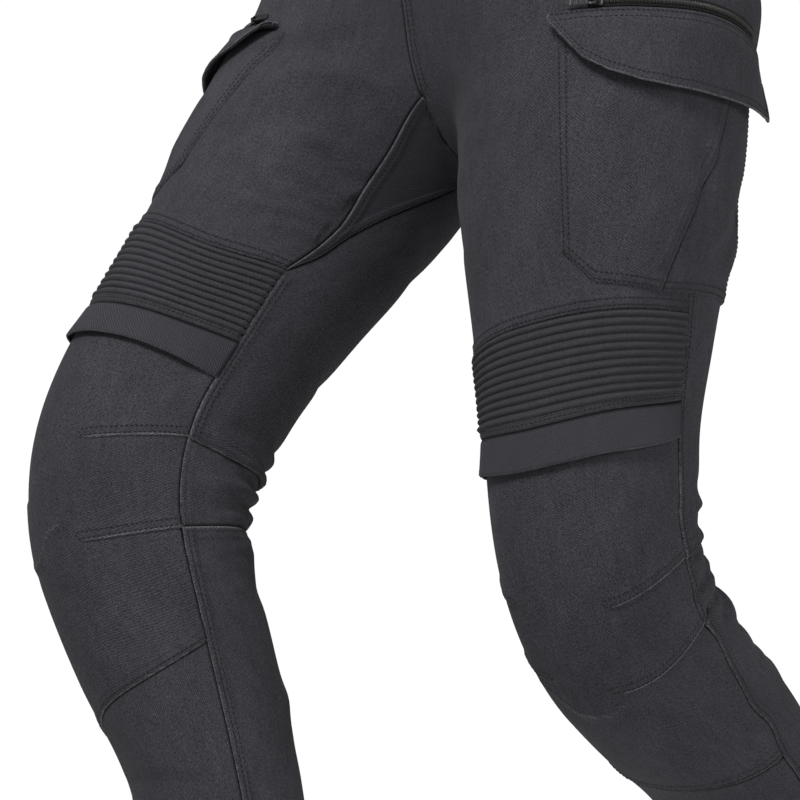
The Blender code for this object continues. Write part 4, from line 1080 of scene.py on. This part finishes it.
def make_knee_band(side, finish):
    """Band sewn under the ribs, its lower edge standing free of the knee."""
    suffix = "_left" if side > 0 else "_right"
    down, angle, share, marks = panel_grid(side, "knee_band", 0.0026)
    points, normals = surface_grid(side, down, angle)
    run = run_lengths(points, 0)
    part = run / run[-1:]
    fade = soft_step(np.minimum(share, 1 - share) / 0.12)
    ripple = 1 + 0.16 * waves(run_lengths(points, 1) / 3.0, 5 + side)
    lift = OVERLAY + BAND_LIFT * part * fade * ripple + 0.0011
    lift = lift - 0.0013 * np.clip(1 - (run[-1:] - run) / 0.0018, 0, 1) ** 2
    wear_and_painted_shade = 0.75 * (1 - soft_step(((run[-1:] - run) - 0.0006) / 0.0012))
    piece = lay("knee_band" + suffix, points, normals, (-1, 0, -0.6, -0.6), wear_and_painted_shade, lift)
    shell = cloth_shell(piece, finish["band"], 0.0013)
    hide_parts("knee_band" + suffix)


def on_thigh(side, down, angle):
    """Where the pocket's own down and angle, in degrees, come to lie on a leg. Angle in radians."""
    above_foot = np.clip((POCKET_FOOT_DOWN - down) / (POCKET_FOOT_DOWN - POCKET_TOP_DOWN), 0, 1.2)
    return down + POCKET_DROP[side] * above_foot, np.radians(angle + POCKET_TWIST[side])


def flap_top(angle):
    return smooth_table(np.asarray(angle, float), np.array(FLAP_EDGES, float), 1)


def make_pocket(side, finish):
    """Cargo pocket in two parts: the front one is lapped over the rear one at its pleat line."""
    suffix = "_left" if side > 0 else "_right"
    dark = "pocket" + suffix
    for name, width, left, right in (("pocket_front", 0.105, 1, 2), ("pocket_rear", 0.055, 2, 3)):
        share = cell_shares(width, 0.0028)[None, :]
        part = cell_shares(0.17, 0.0030)[:, None]
        down = 0.20 + 0.17 * part + 0 * share
        for _ in range(4):
            start, end = smooth_line(down, POCKET_EDGES, left), smooth_line(down, POCKET_EDGES, right)
            if left == 1:
                start = start - EDGE_FORWARD[side] * soft_step((0.365 - down) / 0.15)
            angle = start + (end - start) * share
            bottom = np.interp(angle, [row[0] for row in POCKET_BOTTOM], [row[1] for row in POCKET_BOTTOM])
            top = flap_top(angle) + POCKET_BELOW_FLAP - 0.006
            down = top + (bottom - top) * part
        down, angle = on_thigh(side, down, angle)
        points, normals = surface_grid(side, down, angle)
        is_front = name == "pocket_front"
        across = np.sin(pi * share / 2) if is_front else np.cos(pi * share / 2)
        bulge = POCKET_BULGE * across * soft_step((1 - part) / 0.3) * soft_step(0.35 + part / 0.25)
        out = np.linalg.norm(points - centre_line(side, down)[0], axis=-1)
        sag = 0.0
        for height, size, path in POCKET_SAGS[side]:
            away, reached = path_distance(down, angle, out, path)
            ends = soft_step(reached / 0.3) * soft_step((1 - reached) / 0.3)
            sag = sag + height * ends * np.exp(-((away / size) ** 2))
        lift = 0.0014 + bulge + sag * soft_step((1 - part) / 0.12)
        run = run_lengths(points, 1)
        rim = np.minimum(run, 1.0) if is_front else run[:, -1:] - run
        foot = run_lengths(points, 0)[-1:] - run_lengths(points, 0)
        lift = lift - 0.0011 * np.clip(1 - np.minimum(rim, foot) / 0.0016, 0, 1) ** 2
        lift = lift * (0.55 + 0.45 * soft_step(np.minimum(rim, foot) / 0.009))
        kinds = (0, 0.7, 0.7, 1.0) if is_front else (0, 0.7, -0.7, 0.7)
        piece = lay(name + suffix, points, normals, kinds, 0.0, lift)
        shell = cloth_shell(piece, finish["twill"], 0.0012)
        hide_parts(name + suffix)
        for distance in (ROW_NEAR, ROW_FAR):
            points, normals = row_along(piece, "bottom", distance + EDGE_LAP)
            sew(dark, (points, normals), distance if is_front else 0.001, -0.001 if is_front else -distance)
            edge = "left" if is_front else "right"
            sew(dark, row_along(piece, edge, distance + EDGE_LAP), 0.012, -distance)


def make_flap(side, finish):
    """Pocket flap with a thick turned edge, sewn along its top, front and bottom."""
    suffix = "_left" if side > 0 else "_right"
    angle = 22 + 116 * cell_shares(0.19, 0.0026)[None, :]
    rows = np.array(FLAP_EDGES, float)
    top = smooth_table(angle, rows, 1)
    bottom = np.interp(angle, rows[:, 0], rows[:, 2])
    edge_lift = smooth_table(angle, rows, 3)
    part = cell_shares(0.055, 0.0024)[:, None]
    down = top + (bottom - top) * FLAP_TALLER[side] * part
    over_pocket = soft_step((down - top - 0.003) / 0.010) * (POCKET_CLEAR + WALL + 0.0004)
    lift = POCKET_CLEAR + over_pocket + edge_lift * soft_step(part) * 0.6 + edge_lift * 0.4 * part
    down, angle = on_thigh(side, down, angle + 0 * down)
    points, normals = surface_grid(side, down, angle)
    run = run_lengths(points, 0)
    across = run_lengths(points, 1)
    from_edge = np.minimum(np.minimum(run[-1:] - run, across), across[:, -1:] - across)
    from_top = run
    lift = lift + 0.0016 + 0.0012 * np.exp(-((from_edge - 0.0008) / 0.0012) ** 2)
    lift = lift - 0.0010 * np.clip(1 - from_edge / 0.0014, 0, 1) ** 2
    lift = lift - 0.0012 * (1 - soft_step(from_top / 0.0012))
    lift = lift + 0.0008 * (1 - soft_step((from_top - 0.007) / 0.003))
    lift = lift + 0.00045 * waves(across / 4.5, 3) * soft_step(part / 0.4)
    lift = lift + 0.00018 * waves(across, 6) * (1 - soft_step((from_edge - 0.006) / 0.005))
    wear_and_painted_shade = 0.9 * (1 - soft_step((from_edge - 0.0011) / 0.0010))
    piece = lay("pocket_flap" + suffix, points, normals, (0, 0, 0, 0), wear_and_painted_shade, lift)
    shell = cloth_shell(piece, finish["twill"], 0.0020)
    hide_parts("pocket_flap" + suffix)
    thread = "pocket" + suffix
    for distance in (0.0022, 0.0068):
        sew(thread, row_along(piece, "bottom", distance), distance, -distance)
        sew(thread, row_along(piece, "top", distance), distance, -distance)
        sew(thread, row_along(piece, "right", distance), distance, -distance)


def make_zip(side, finish):
    """Zip above the flap: a corded tape and two rows of teeth."""
    suffix = "_left" if side > 0 else "_right"
    angle = np.linspace(ZIP_FRONT, ZIP_REAR, 70)[None, :]
    across = np.linspace(-0.5, 0.5, 25)[:, None]
    down, angle = on_thigh(side, flap_top(angle), angle)
    down = down - ZIP_ABOVE + across * ZIP_WIDTH
    angle = angle + 0 * across
    points, normals = cloth_point(side, down, angle)
    cords = 0.00018 * np.cos(2 * pi * across * 8) + 0 * angle
    piece = lay("zip_tape" + suffix, points, normals, (0, 0, 0, 0), 0.0, ZIP_CLEAR + ZIP_THICK + cords)
    shell = cloth_shell(piece, finish["tape"], 0.0010)
    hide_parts("zip_tape" + suffix)
    line = piece["points"][12], piece["normals"][12]
    s = run_lengths(line[0][None], 1)[0]
    count = int((s[-1] - 0.004) / 0.0013)
    at = 0.002 + (np.arange(count) + 0.5) * 0.0013
    centre, before, after, normal = (
        np.stack([np.interp(x, s, values[:, k]) for k in range(3)], -1)
        for x, values in ((at, line[0]), (at - 0.001, line[0]), (at + 0.001, line[0]), (at, line[1])))
    along, normal = unit(after - before), unit(normal)
    beside = unit(np.cross(normal, along))
    verts, faces = [], []
    profile = ((-0.0020, 0.0001), (-0.0017, 0.0008), (0.0, 0.0011), (0.0017, 0.0008), (0.0020, 0.0001))
    for k in range(count):
        shift = 0.00035 if k % 2 else -0.00035
        for step, drop in ((-0.00040, 0.00018), (0.0, 0.0), (0.00040, 0.00018)):
            for y, z in profile:
                verts.append(centre[k] + along[k] * step + beside[k] * (y + shift) + normal[k] * (z - drop))
        base = k * 15
        for r in range(2):
            for c in range(4):
                a = base + r * 5 + c
                faces.append((a, a + 1, a + 6, a + 5))
        faces.append(tuple(base + c for c in (4, 3, 2, 1, 0)))
        faces.append(tuple(base + 10 + c for c in range(5)))
        faces.append((base, base + 5, base + 10, base + 14, base + 9, base + 4))
    mesh = bpy.data.meshes.new("zip_teeth" + suffix)
    mesh.from_pydata([tuple(v) for v in verts], [], faces)
    teeth = place("zip_teeth" + suffix, mesh, finish["teeth"])
    for y, thread in ((1, "pocket" + suffix), (-2, "pocket" + suffix)):
        sew(thread, (piece["points"][y], piece["normals"][y]), 0.003, -0.003)


def gusset_edge(side, is_back, rows):
    """Points down one seam of the gusset, from its corner to its blunt tip."""
    down = CORNERS[side, is_back][0] + (GUSSET_TIP_DOWN - CORNERS[side, is_back][0]) * rows
    points = form_point(side, down, inner_angle(side, down, is_back))
    points[-1] = points[-2] + (points[-1] - points[-2]) * GUSSET_TIP_SHARE
    return points


def make_gusset(finish):
    """One diamond from the front seam to the back seam, its tips down both inner thighs."""
    t = cell_shares(0.10, 0.0026)[:, None]
    rows = np.linspace(0, 1, 60)
    halves = {}
    for side in (-1, +1):
        front, back = gusset_edge(side, False, rows), gusset_edge(side, True, rows)
        leg_inside = centre_line(side, np.array(GUSSET_TIP_DOWN))[0]
        laid = []
        for k, share in enumerate(rows):
            start = FORK_INSIDE + (leg_inside - FORK_INSIDE) * share
            direction = unit(unit(front[k] - start) * (1 - t) + unit(back[k] - start) * t)
            if k == 0:
                direction[:, 0] = 0
                direction = unit(direction)
                points = start + reach(start, direction)[:, None] * direction
            else:
                points = start + reach(start, direction, side)[:, None] * direction
                points[0], points[-1] = front[k], back[k]
            laid.append(points)
        halves[side] = np.array(laid)
    points = np.concatenate([halves[-1][::-1], halves[+1][1:]])
    normals = field_normal(points)
    piece = lay("crotch_gusset", points, normals, (0, 0, 0.9, 0.9))
    shell = cloth_shell(piece, finish["gusset"])
    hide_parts("crotch_gusset")
    for edge in ("left", "right"):
        sew("gusset", row_along(piece, edge, 0.0034), 0.012, -0.012)


def make_waistband(finish):
    """Plain band round the waist, its left end lapped over the right one at the front."""
    waist = FRONT_LINES["waist"][0][1]
    part = cell_shares(waist, 0.0030)
    share = cell_shares(0.21, CELL, False, False)

    def ring(side, angles, lift):
        down, angle = np.meshgrid(waist * part, angles, indexing="ij")
        points = form_point(side, down, angle)
        return points, form_normal(side, down, angle), np.zeros(down.shape) + lift

    def half(side):
        at = np.array(waist)
        front_in, out = float(inner_angle(side, at, False)), float(outer_angle(waist))
        back_in = float(inner_angle(side, at, True)) + 2 * pi
        return np.concatenate([front_in + (out - front_in) * share, out + (back_in - out) * share[1:]])

    right, left = half(-1), half(+1)[::-1][1:]
    lift = BAND_OVERLAP_LIFT * soft_step((np.arange(len(left)) - len(left) + 9) / 8)
    end = np.linspace(middle_to_angle(-1, 0.0), middle_to_angle(-1, BAND_EXTENSION[1]), 10)[1:]
    rings = [ring(-1, right, 0.0), ring(+1, left, lift[None, :]), ring(-1, end, BAND_OVERLAP_LIFT)]
    points, normals, lift = (np.concatenate([r[k] for r in rings], axis=1) for k in range(3))
    points[:, 0, 0] = -HALF_SEAM
    run = run_lengths(points, 0)
    edge = np.minimum(run, run[-1:] - run)
    lift = lift + 0.0003 - 0.0009 * np.clip(1 - edge / 0.0014, 0, 1) ** 2
    across = run_lengths(points, 1)
    lift = lift + 0.00018 * waves(across, 2) * (1 - soft_step((edge - 0.004) / 0.006))
    wear_and_painted_shade = 0.7 * (1 - soft_step((edge - 0.0006) / 0.0010))
    piece = lay("waistband", points, normals, (0, 0.8, 0, 0), wear_and_painted_shade, lift)
    shell = cloth_shell(piece, finish["twill"])
    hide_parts("waistband")
    for edge_name in ("top", "bottom"):
        sew("waist", row_along(piece, edge_name, 0.0028 if edge_name == "bottom" else 0.0022))
    sew("waist", row_along(piece, "right", 0.0030), 0.002, -0.002)


def middle_to_angle(side, x):
    """Angle at the waistband's middle height at which the form lies x from the middle plane."""
    waist = FRONT_LINES["waist"][0][1]
    low = float(inner_angle(side, np.array(waist), False))
    high = low + radians(40)
    for _ in range(30):
        middle = (low + high) / 2
        here = form_point(side, np.array(waist / 2), np.array(middle))[0]
        if side * here < side * x:
            low = middle
        else:
            high = middle
    return (low + high) / 2


def sew_fly():
    """Curved double row beside the front middle seam, as over a zip's shield."""
    for inset in (0.0, 0.006):
        down = np.linspace(0.044, 0.130 - inset, 60)
        beside = 0.036 - inset
        bend = np.clip((down - 0.096 + inset) / 0.034, 0, 1)
        x = beside * np.sqrt(np.clip(1 - bend**2, 0, 1))
        angle = inner_angle(+1, down, False) + x / 0.125
        points, normals = cloth_point(+1, down, angle)
        sew("fly", (points + 0.0002 * normals, normals))


def node(tree, kind, place_at=(0, 0), **values):
    made = tree.nodes.new(kind)
    made.location = place_at
    for name, value in values.items():
        setattr(made, name, value)
    return made


def maths(tree, operation, *values):
    """A Math node. Each value is a number or a socket."""
    made = node(tree, "ShaderNodeMath", operation=operation)
    for k, value in enumerate(values):
        if isinstance(value, (int, float)):
            made.inputs[k].default_value = value
        else:
            tree.links.new(value, made.inputs[k])
    return made.outputs[0]


def new_group(name, inputs, outputs):
    group = bpy.data.node_groups.new(name, "ShaderNodeTree")
    for socket, kind, value in inputs:
        made = group.interface.new_socket(socket, in_out="INPUT", socket_type=kind)
        if value is not None:
            made.default_value = value
    for socket, kind in outputs:
        group.interface.new_socket(socket, in_out="OUTPUT", socket_type=kind)
    return group, node(group, "NodeGroupInput", (-900, 0)), node(group, "NodeGroupOutput", (600, 0))


def stretched_noise(tree, vector, across, along, detail=2.0, roughness=0.5):
    """Noise with its own number of cells per metre across and along the grain."""
    scaled = node(tree, "ShaderNodeVectorMath", operation="MULTIPLY")
    tree.links.new(vector, scaled.inputs[0])
    scaled.inputs[1].default_value = (across, along, 1.0)
    noise = node(tree, "ShaderNodeTexNoise", noise_dimensions="3D")
    noise.inputs["Scale"].default_value = 1.0
    noise.inputs["Detail"].default_value = detail
    noise.inputs["Roughness"].default_value = roughness
    tree.links.new(scaled.outputs[0], noise.inputs["Vector"])
    return noise.outputs["Fac"]


def twill_weave():
    """Slanting cords of a twill, broken where the threads cross."""
    group, given, out = new_group(
        "twill weave",
        (("Grain", "NodeSocketVector", None), ("Pitch", "NodeSocketFloat", 0.0014),
         ("Slant", "NodeSocketFloat", 0.9)),
        (("Height", "NodeSocketFloat"), ("Cord", "NodeSocketFloat")))
    turned = node(group, "ShaderNodeVectorRotate", rotation_type="Z_AXIS")
    group.links.new(given.outputs["Grain"], turned.inputs["Vector"])
    group.links.new(given.outputs["Slant"], turned.inputs["Angle"])
    split = node(group, "ShaderNodeSeparateXYZ")
    group.links.new(turned.outputs[0], split.inputs[0])
    wander = stretched_noise(group, given.outputs["Grain"], 160, 160, 2.0)
    turns = maths(group, "DIVIDE", 6.2832, given.outputs["Pitch"])
    phase = maths(group, "MULTIPLY", split.outputs[0], turns)
    phase = maths(group, "ADD", phase, maths(group, "MULTIPLY", wander, 9.0))
    cord = maths(group, "MULTIPLY_ADD", maths(group, "SINE", phase), 0.5, 0.5)
    step = maths(group, "MULTIPLY", split.outputs[1], maths(group, "MULTIPLY", turns, 1.35))
    step = maths(group, "SINE", maths(group, "ADD", step, maths(group, "MULTIPLY", phase, 0.5)))
    height = maths(group, "MULTIPLY", cord, maths(group, "MULTIPLY_ADD", step, 0.22, 0.78))
    group.links.new(height, out.inputs["Height"])
    group.links.new(cord, out.inputs["Cord"])
    return group


def heather_streaks():
    """Paler and darker yarns: fine short streaks that run down the cloth."""
    group, given, out = new_group(
        "heather streaks",
        (("Grain", "NodeSocketVector", None), ("Amount", "NodeSocketFloat", 1.0)),
        (("Shade", "NodeSocketFloat"),))
    fine = stretched_noise(group, given.outputs["Grain"], 1050, 420, 2.0, 0.6)
    long = stretched_noise(group, given.outputs["Grain"], 380, 45, 2.0, 0.5)
    fuzz = stretched_noise(group, given.outputs["Grain"], 1300, 1300, 1.0, 0.5)
    total = maths(group, "MULTIPLY_ADD", fine, 1.5, maths(group, "MULTIPLY_ADD", long, 0.4,
                  maths(group, "MULTIPLY_ADD", fuzz, 1.7, -1.80)))
    shade = maths(group, "MULTIPLY", total, given.outputs["Amount"])
    group.links.new(maths(group, "ADD", shade, 1.0), out.inputs["Shade"])
    return group


def wash_marks():
    """Slow cloudy mottling left by washing and wearing."""
    group, given, out = new_group(
        "wash marks",
        (("Grain", "NodeSocketVector", None), ("Amount", "NodeSocketFloat", 1.0)),
        (("Shade", "NodeSocketFloat"),))
    broad = stretched_noise(group, given.outputs["Grain"], 18, 11, 3.0, 0.55)
    small = stretched_noise(group, given.outputs["Grain"], 110, 70, 3.0, 0.6)
    total = maths(group, "MULTIPLY_ADD", broad, 0.75, maths(group, "MULTIPLY_ADD", small, 0.45, -0.6))
    shade = maths(group, "MULTIPLY", total, given.outputs["Amount"])
    group.links.new(maths(group, "ADD", shade, 1.0), out.inputs["Shade"])
    return group


def rubbed_edges_and_painted_shade():
    """Where folded edges are rubbed pale, uneven along their length, and how much the painted shade of seams
    and rib valleys darkens the colour.
    """
    group, given, out = new_group(
        "rubbed edges and painted shade",
        (("Grain", "NodeSocketVector", None), ("Worn", "NodeSocketFloat", 0.0)),
        (("Mask", "NodeSocketFloat"), ("Shade", "NodeSocketFloat")))
    patchy = stretched_noise(group, given.outputs["Grain"], 260, 260, 3.0, 0.6)
    slow = stretched_noise(group, given.outputs["Grain"], 45, 45, 2.0, 0.5)
    uneven = maths(group, "MULTIPLY_ADD", patchy, 1.1, maths(group, "MULTIPLY", slow, 0.9))
    mask = maths(group, "MULTIPLY", given.outputs["Worn"], uneven)
    ramp = node(group, "ShaderNodeMapRange", interpolation_type="SMOOTHSTEP")
    group.links.new(mask, ramp.inputs["Value"])
    ramp.inputs["From Min"].default_value = 0.25
    ramp.inputs["From Max"].default_value = 1.25
    group.links.new(ramp.outputs["Result"], out.inputs["Mask"])
    # Negative values are painted shade: Shade darkens the colour by up to 92 percent.
    held = maths(group, "MINIMUM", given.outputs["Worn"], 0.0)
    group.links.new(maths(group, "MULTIPLY_ADD", held, 0.92, 1.0), out.inputs["Shade"])
    return group


def add_group(tree, group, **values):
    made = node(tree, "ShaderNodeGroup", node_tree=group)
    for name, value in values.items():
        if isinstance(value, (int, float)):
            made.inputs[name].default_value = value
        else:
            tree.links.new(value, made.inputs[name])
    return made


def new_material(name, roughness=0.9, metallic=0.0, sheen=0.0):
    mat = bpy.data.materials.new(name)
    mat.use_nodes = True
    shader = mat.node_tree.nodes["Principled BSDF"]
    shader.inputs["Roughness"].default_value = roughness
    shader.inputs["Metallic"].default_value = metallic
    shader.inputs["Specular IOR Level"].default_value = 0.12
    shader.inputs["Sheen Weight"].default_value = sheen
    shader.inputs["Sheen Roughness"].default_value = 0.45
    return mat, mat.node_tree, shader


def shaded(tree, colour, *shades):
    """A colour brightened and darkened by each shade."""
    total = shades[0]
    for shade in shades[1:]:
        total = maths(tree, "MULTIPLY", total, shade)
    made = node(tree, "ShaderNodeVectorMath", operation="SCALE")
    made.inputs[0].default_value = colour
    tree.links.new(total, made.inputs["Scale"])
    return made.outputs[0]


def cloth_material(name, colour, rubbed, pitch=0.0014, slant=0.95, heather=1.2, wash=1.0, cord=0.24,
                   relief=0.00024):
    mat, tree, shader = new_material(name, 0.9, 0.0, 0.03)
    grain = node(tree, "ShaderNodeAttribute", (-1200, 0), attribute_name="grain").outputs["Vector"]
    rubbed_and_painted_shade = node(tree, "ShaderNodeAttribute", (-1200, -300), attribute_name="wear_and_painted_shade").outputs["Fac"]
    weave = add_group(tree, GROUPS["weave"], Grain=grain, Pitch=pitch, Slant=slant)
    streaks = add_group(tree, GROUPS["heather"], Grain=grain, Amount=heather)
    marks = add_group(tree, GROUPS["wash"], Grain=grain, Amount=wash)
    edges = add_group(tree, GROUPS["rubbed"], Grain=grain, Worn=rubbed_and_painted_shade)
    cords = maths(tree, "MULTIPLY_ADD", weave.outputs["Cord"], 2 * cord, 1 - cord)
    # The body colour is darkened by the painted seam and rib-valley shade, through the Shade of the
    # rubbed-edges group.
    body = shaded(tree, colour, streaks.outputs["Shade"], marks.outputs["Shade"], cords,
                  edges.outputs["Shade"])
    pale = shaded(tree, rubbed, streaks.outputs["Shade"], cords)
    mix = node(tree, "ShaderNodeMix", data_type="RGBA")
    tree.links.new(edges.outputs["Mask"], mix.inputs["Factor"])
    tree.links.new(body, mix.inputs["A"])
    tree.links.new(pale, mix.inputs["B"])
    tree.links.new(mix.outputs["Result"], shader.inputs["Base Color"])
    rough = maths(tree, "MULTIPLY_ADD", streaks.outputs["Shade"], -0.10, 1.0)
    tree.links.new(rough, shader.inputs["Roughness"])
    height = maths(tree, "MULTIPLY_ADD", streaks.outputs["Shade"], 0.45, weave.outputs["Height"])
    bump = node(tree, "ShaderNodeBump")
    bump.inputs["Strength"].default_value = 0.55
    bump.inputs["Distance"].default_value = relief
    tree.links.new(height, bump.inputs["Height"])
    tree.links.new(bump.outputs["Normal"], shader.inputs["Normal"])
    return mat


def thread_material(name, colour):
    """Twisted sewing thread: fine slanting plies and uneven dye."""
    mat, tree, shader = new_material(name, 0.7, 0.0, 0.1)
    grain = node(tree, "ShaderNodeAttribute", attribute_name="grain").outputs["Vector"]
    plies = add_group(tree, GROUPS["weave"], Grain=grain, Pitch=0.00045, Slant=0.6)
    where = node(tree, "ShaderNodeTexCoord").outputs["Object"]
    dye = stretched_noise(tree, where, 240, 240, 2.0)
    shade = maths(tree, "MULTIPLY_ADD", dye, 0.6, 0.7)
    cords = maths(tree, "MULTIPLY_ADD", plies.outputs["Cord"], 0.5, 0.75)
    tree.links.new(shaded(tree, colour, shade, cords), shader.inputs["Base Color"])
    bump = node(tree, "ShaderNodeBump")
    bump.inputs["Strength"].default_value = 0.5
    bump.inputs["Distance"].default_value = 0.00008
    tree.links.new(plies.outputs["Height"], bump.inputs["Height"])
    tree.links.new(bump.outputs["Normal"], shader.inputs["Normal"])
    return mat


def hard_material(name, colour, roughness, metallic, scuffed):
    """Painted metal or moulded plastic, with fine grain, smudges and bare scuffs."""
    mat, tree, shader = new_material(name, roughness, metallic)
    shader.inputs["Specular IOR Level"].default_value = 0.5
    where = node(tree, "ShaderNodeTexCoord").outputs["Object"]
    smudge = stretched_noise(tree, where, 220, 220, 4.0)
    grain = stretched_noise(tree, where, 2600, 2600, 2.0)
    scuff = stretched_noise(tree, where, 900, 260, 3.0, 0.7)
    mask = node(tree, "ShaderNodeMapRange", interpolation_type="SMOOTHSTEP")
    tree.links.new(scuff, mask.inputs["Value"])
    mask.inputs["From Min"].default_value = 0.58
    mask.inputs["From Max"].default_value = 0.72
    mix = node(tree, "ShaderNodeMix", data_type="RGBA")
    tree.links.new(mask.outputs["Result"], mix.inputs["Factor"])
    tree.links.new(shaded(tree, colour, maths(tree, "MULTIPLY_ADD", smudge, 0.6, 0.7)), mix.inputs["A"])
    mix.inputs["B"].default_value = (*scuffed, 1)
    tree.links.new(mix.outputs["Result"], shader.inputs["Base Color"])
    fine = maths(tree, "MULTIPLY_ADD", grain, 0.1, roughness - 0.17)
    rough = maths(tree, "MULTIPLY_ADD", smudge, 0.25, fine)
    tree.links.new(rough, shader.inputs["Roughness"])
    bump = node(tree, "ShaderNodeBump")
    bump.inputs["Strength"].default_value = 0.3
    bump.inputs["Distance"].default_value = 0.00004
    tree.links.new(grain, bump.inputs["Height"])
    tree.links.new(bump.outputs["Normal"], shader.inputs["Normal"])
    return mat


def plain_material(name, colour, roughness):
    """Plain pale floor with a barely seen mottle."""
    mat, tree, shader = new_material(name, roughness)
    where = node(tree, "ShaderNodeTexCoord").outputs["Object"]
    mottle = stretched_noise(tree, where, 3, 3, 4.0)
    tree.links.new(shaded(tree, colour, maths(tree, "MULTIPLY_ADD", mottle, 0.04, 0.98)),
                   shader.inputs["Base Color"])
    return mat


# The rubbed group also carries the painted shade of seams and rib valleys.
GROUPS = {"weave": twill_weave(), "heather": heather_streaks(), "wash": wash_marks(),
          "rubbed": rubbed_edges_and_painted_shade()}

finish = {
    "twill": cloth_material("charcoal twill", (0.0403, 0.0388, 0.0461), (0.120, 0.119, 0.130)),
    "band": cloth_material("charcoal twill, cut across", (0.0388, 0.0373, 0.0446), (0.100, 0.099, 0.110),
                           pitch=0.0016, slant=-0.75, heather=0.35, wash=0.4, cord=0.34, relief=0.00030),
    "ribs": cloth_material("ribbed stretch cloth", (0.0378, 0.0367, 0.0427), (0.070, 0.069, 0.077),
                           pitch=0.0013, slant=0.8, heather=0.8, wash=0.5, cord=0.16),
    # The gusset colour is set darker than the leg cloth: painted shade for the fork it sits in.
    "gusset": cloth_material("gusset twill, darkened as painted shade", (0.0320, 0.0308, 0.0369), (0.100, 0.099, 0.110),
                             pitch=0.0016, slant=0.7, heather=0.45, wash=0.5, cord=0.30, relief=0.00026),
    "tape": cloth_material("woven zip tape", (0.020, 0.020, 0.019), (0.040, 0.040, 0.040),
                           pitch=0.0009, slant=0.4, heather=0.3, wash=0.3),
    "teeth": hard_material("zip teeth", (0.016, 0.016, 0.015), 0.42, 0.0, (0.06, 0.06, 0.055)),
    "metal": hard_material("gunmetal", (0.055, 0.055, 0.058), 0.40, 1.0, (0.30, 0.30, 0.31)),
    # This thread is dyed darker than the cloth and set darker still as painted shade of the sunken stitches.
    "dark thread with painted shade": thread_material("dark sewing thread, with painted stitch shade", (0.0130, 0.0125, 0.0145)),
    "pale thread": thread_material("greyed sewing thread", (0.060, 0.060, 0.065)),
}


def make_camera():
    """Camera level with the hips, from the front on the wearer's left."""
    turn, tilt = radians(CAMERA_TURN), radians(CAMERA_TILT)
    right = Vector((cos(turn), sin(turn), 0))
    back = Vector((sin(turn) * cos(tilt), -cos(turn) * cos(tilt), sin(tilt)))
    up = back.cross(right)
    offset_right, offset_up = (CAMERA_AIM_PIXEL[0] - 400), (400 - CAMERA_AIM_PIXEL[1])
    eye = Vector(CAMERA_AIM) + back * CAMERA_DISTANCE
    eye = eye - right * (offset_right / PIXELS_PER_METRE) - up * (offset_up / PIXELS_PER_METRE)
    data = bpy.data.cameras.new("camera")
    data.sensor_width = 36.0
    data.lens = 36.0 * PIXELS_PER_METRE * CAMERA_DISTANCE / 800
    data.clip_end = 60.0
    camera = bpy.data.objects.new("camera", data)
    camera.matrix_world = Matrix.Translation(eye) @ Matrix((right, up, back)).transposed().to_4x4()
    bpy.context.scene.collection.objects.link(camera)
    bpy.context.scene.camera = camera


def make_light(name, place_at, aim, size, power, colour=(1, 1, 1)):
    """Round soft light at a place, turned to its aim."""
    data = bpy.data.lights.new(name, "AREA")
    data.shape = "DISK"
    data.size = size
    data.energy = power
    data.color = colour
    light = bpy.data.objects.new(name, data)
    light.location = place_at
    light.rotation_mode = "QUATERNION"
    light.rotation_quaternion = (Vector(aim) - Vector(place_at)).to_track_quat("-Z", "Y")
    bpy.context.scene.collection.objects.link(light)


def make_studio(low):
    """Pale floor, white surroundings, and large soft lights."""
    mesh = bpy.data.meshes.new("floor")
    rim = [(FLOOR_RADIUS * cos(k * pi / 48), FLOOR_RADIUS * sin(k * pi / 48), 0) for k in range(96)]
    mesh.from_pydata(rim, [], [tuple(range(96))])
    mesh.materials.append(plain_material("pale floor", (0.88, 0.88, 0.88), 0.8))
    floor = bpy.data.objects.new("floor", mesh)
    floor.location = (0, 0, low - FLOOR_BELOW)
    bpy.context.scene.collection.objects.link(floor)
    world = bpy.data.worlds.new("white studio")
    world.use_nodes = True
    tree = world.node_tree
    background = tree.nodes["Background"]
    background.inputs["Color"].default_value = (1.0, 1.0, 1.0, 1)
    seen = node(tree, "ShaderNodeLightPath").outputs["Is Camera Ray"]
    tree.links.new(maths(tree, "MULTIPLY_ADD", seen, 1.02 - WORLD_LIGHT, WORLD_LIGHT),
                   background.inputs["Strength"])
    bpy.context.scene.world = world
    for name, place_at, aim, size, power in LIGHTS:
        make_light(name, place_at, aim, size, power)
    bpy.context.scene.view_settings.view_transform = "Standard"


make_camera()
for side in (+1, -1):
    suffix = "_left" if side > 0 else "_right"
    made = make_panels(side, finish)
    sew_panels(side, made)
    make_knee_band(side, finish)
    make_pocket(side, finish)
    make_flap(side, finish)
    make_zip(side, finish)
    for part in ("zip_slider", "zip_pull"):
        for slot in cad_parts[part + suffix].material_slots:
            slot.material = finish["metal"]
    make_sewing("seams" + suffix, "seam_stitching" + suffix, finish["dark thread with painted shade"])
    make_sewing("pocket" + suffix, "pocket_stitching" + suffix, finish["dark thread with painted shade"])
    make_sewing("ribs" + suffix, "rib_stitching" + suffix, finish["pale thread"])
make_gusset(finish)
make_waistband(finish)
sew_fly()
for thread in ("gusset", "waist", "fly"):
    make_sewing(thread, thread + "_stitching", finish["dark thread with painted shade"])
make_studio(solid_box[0][2])
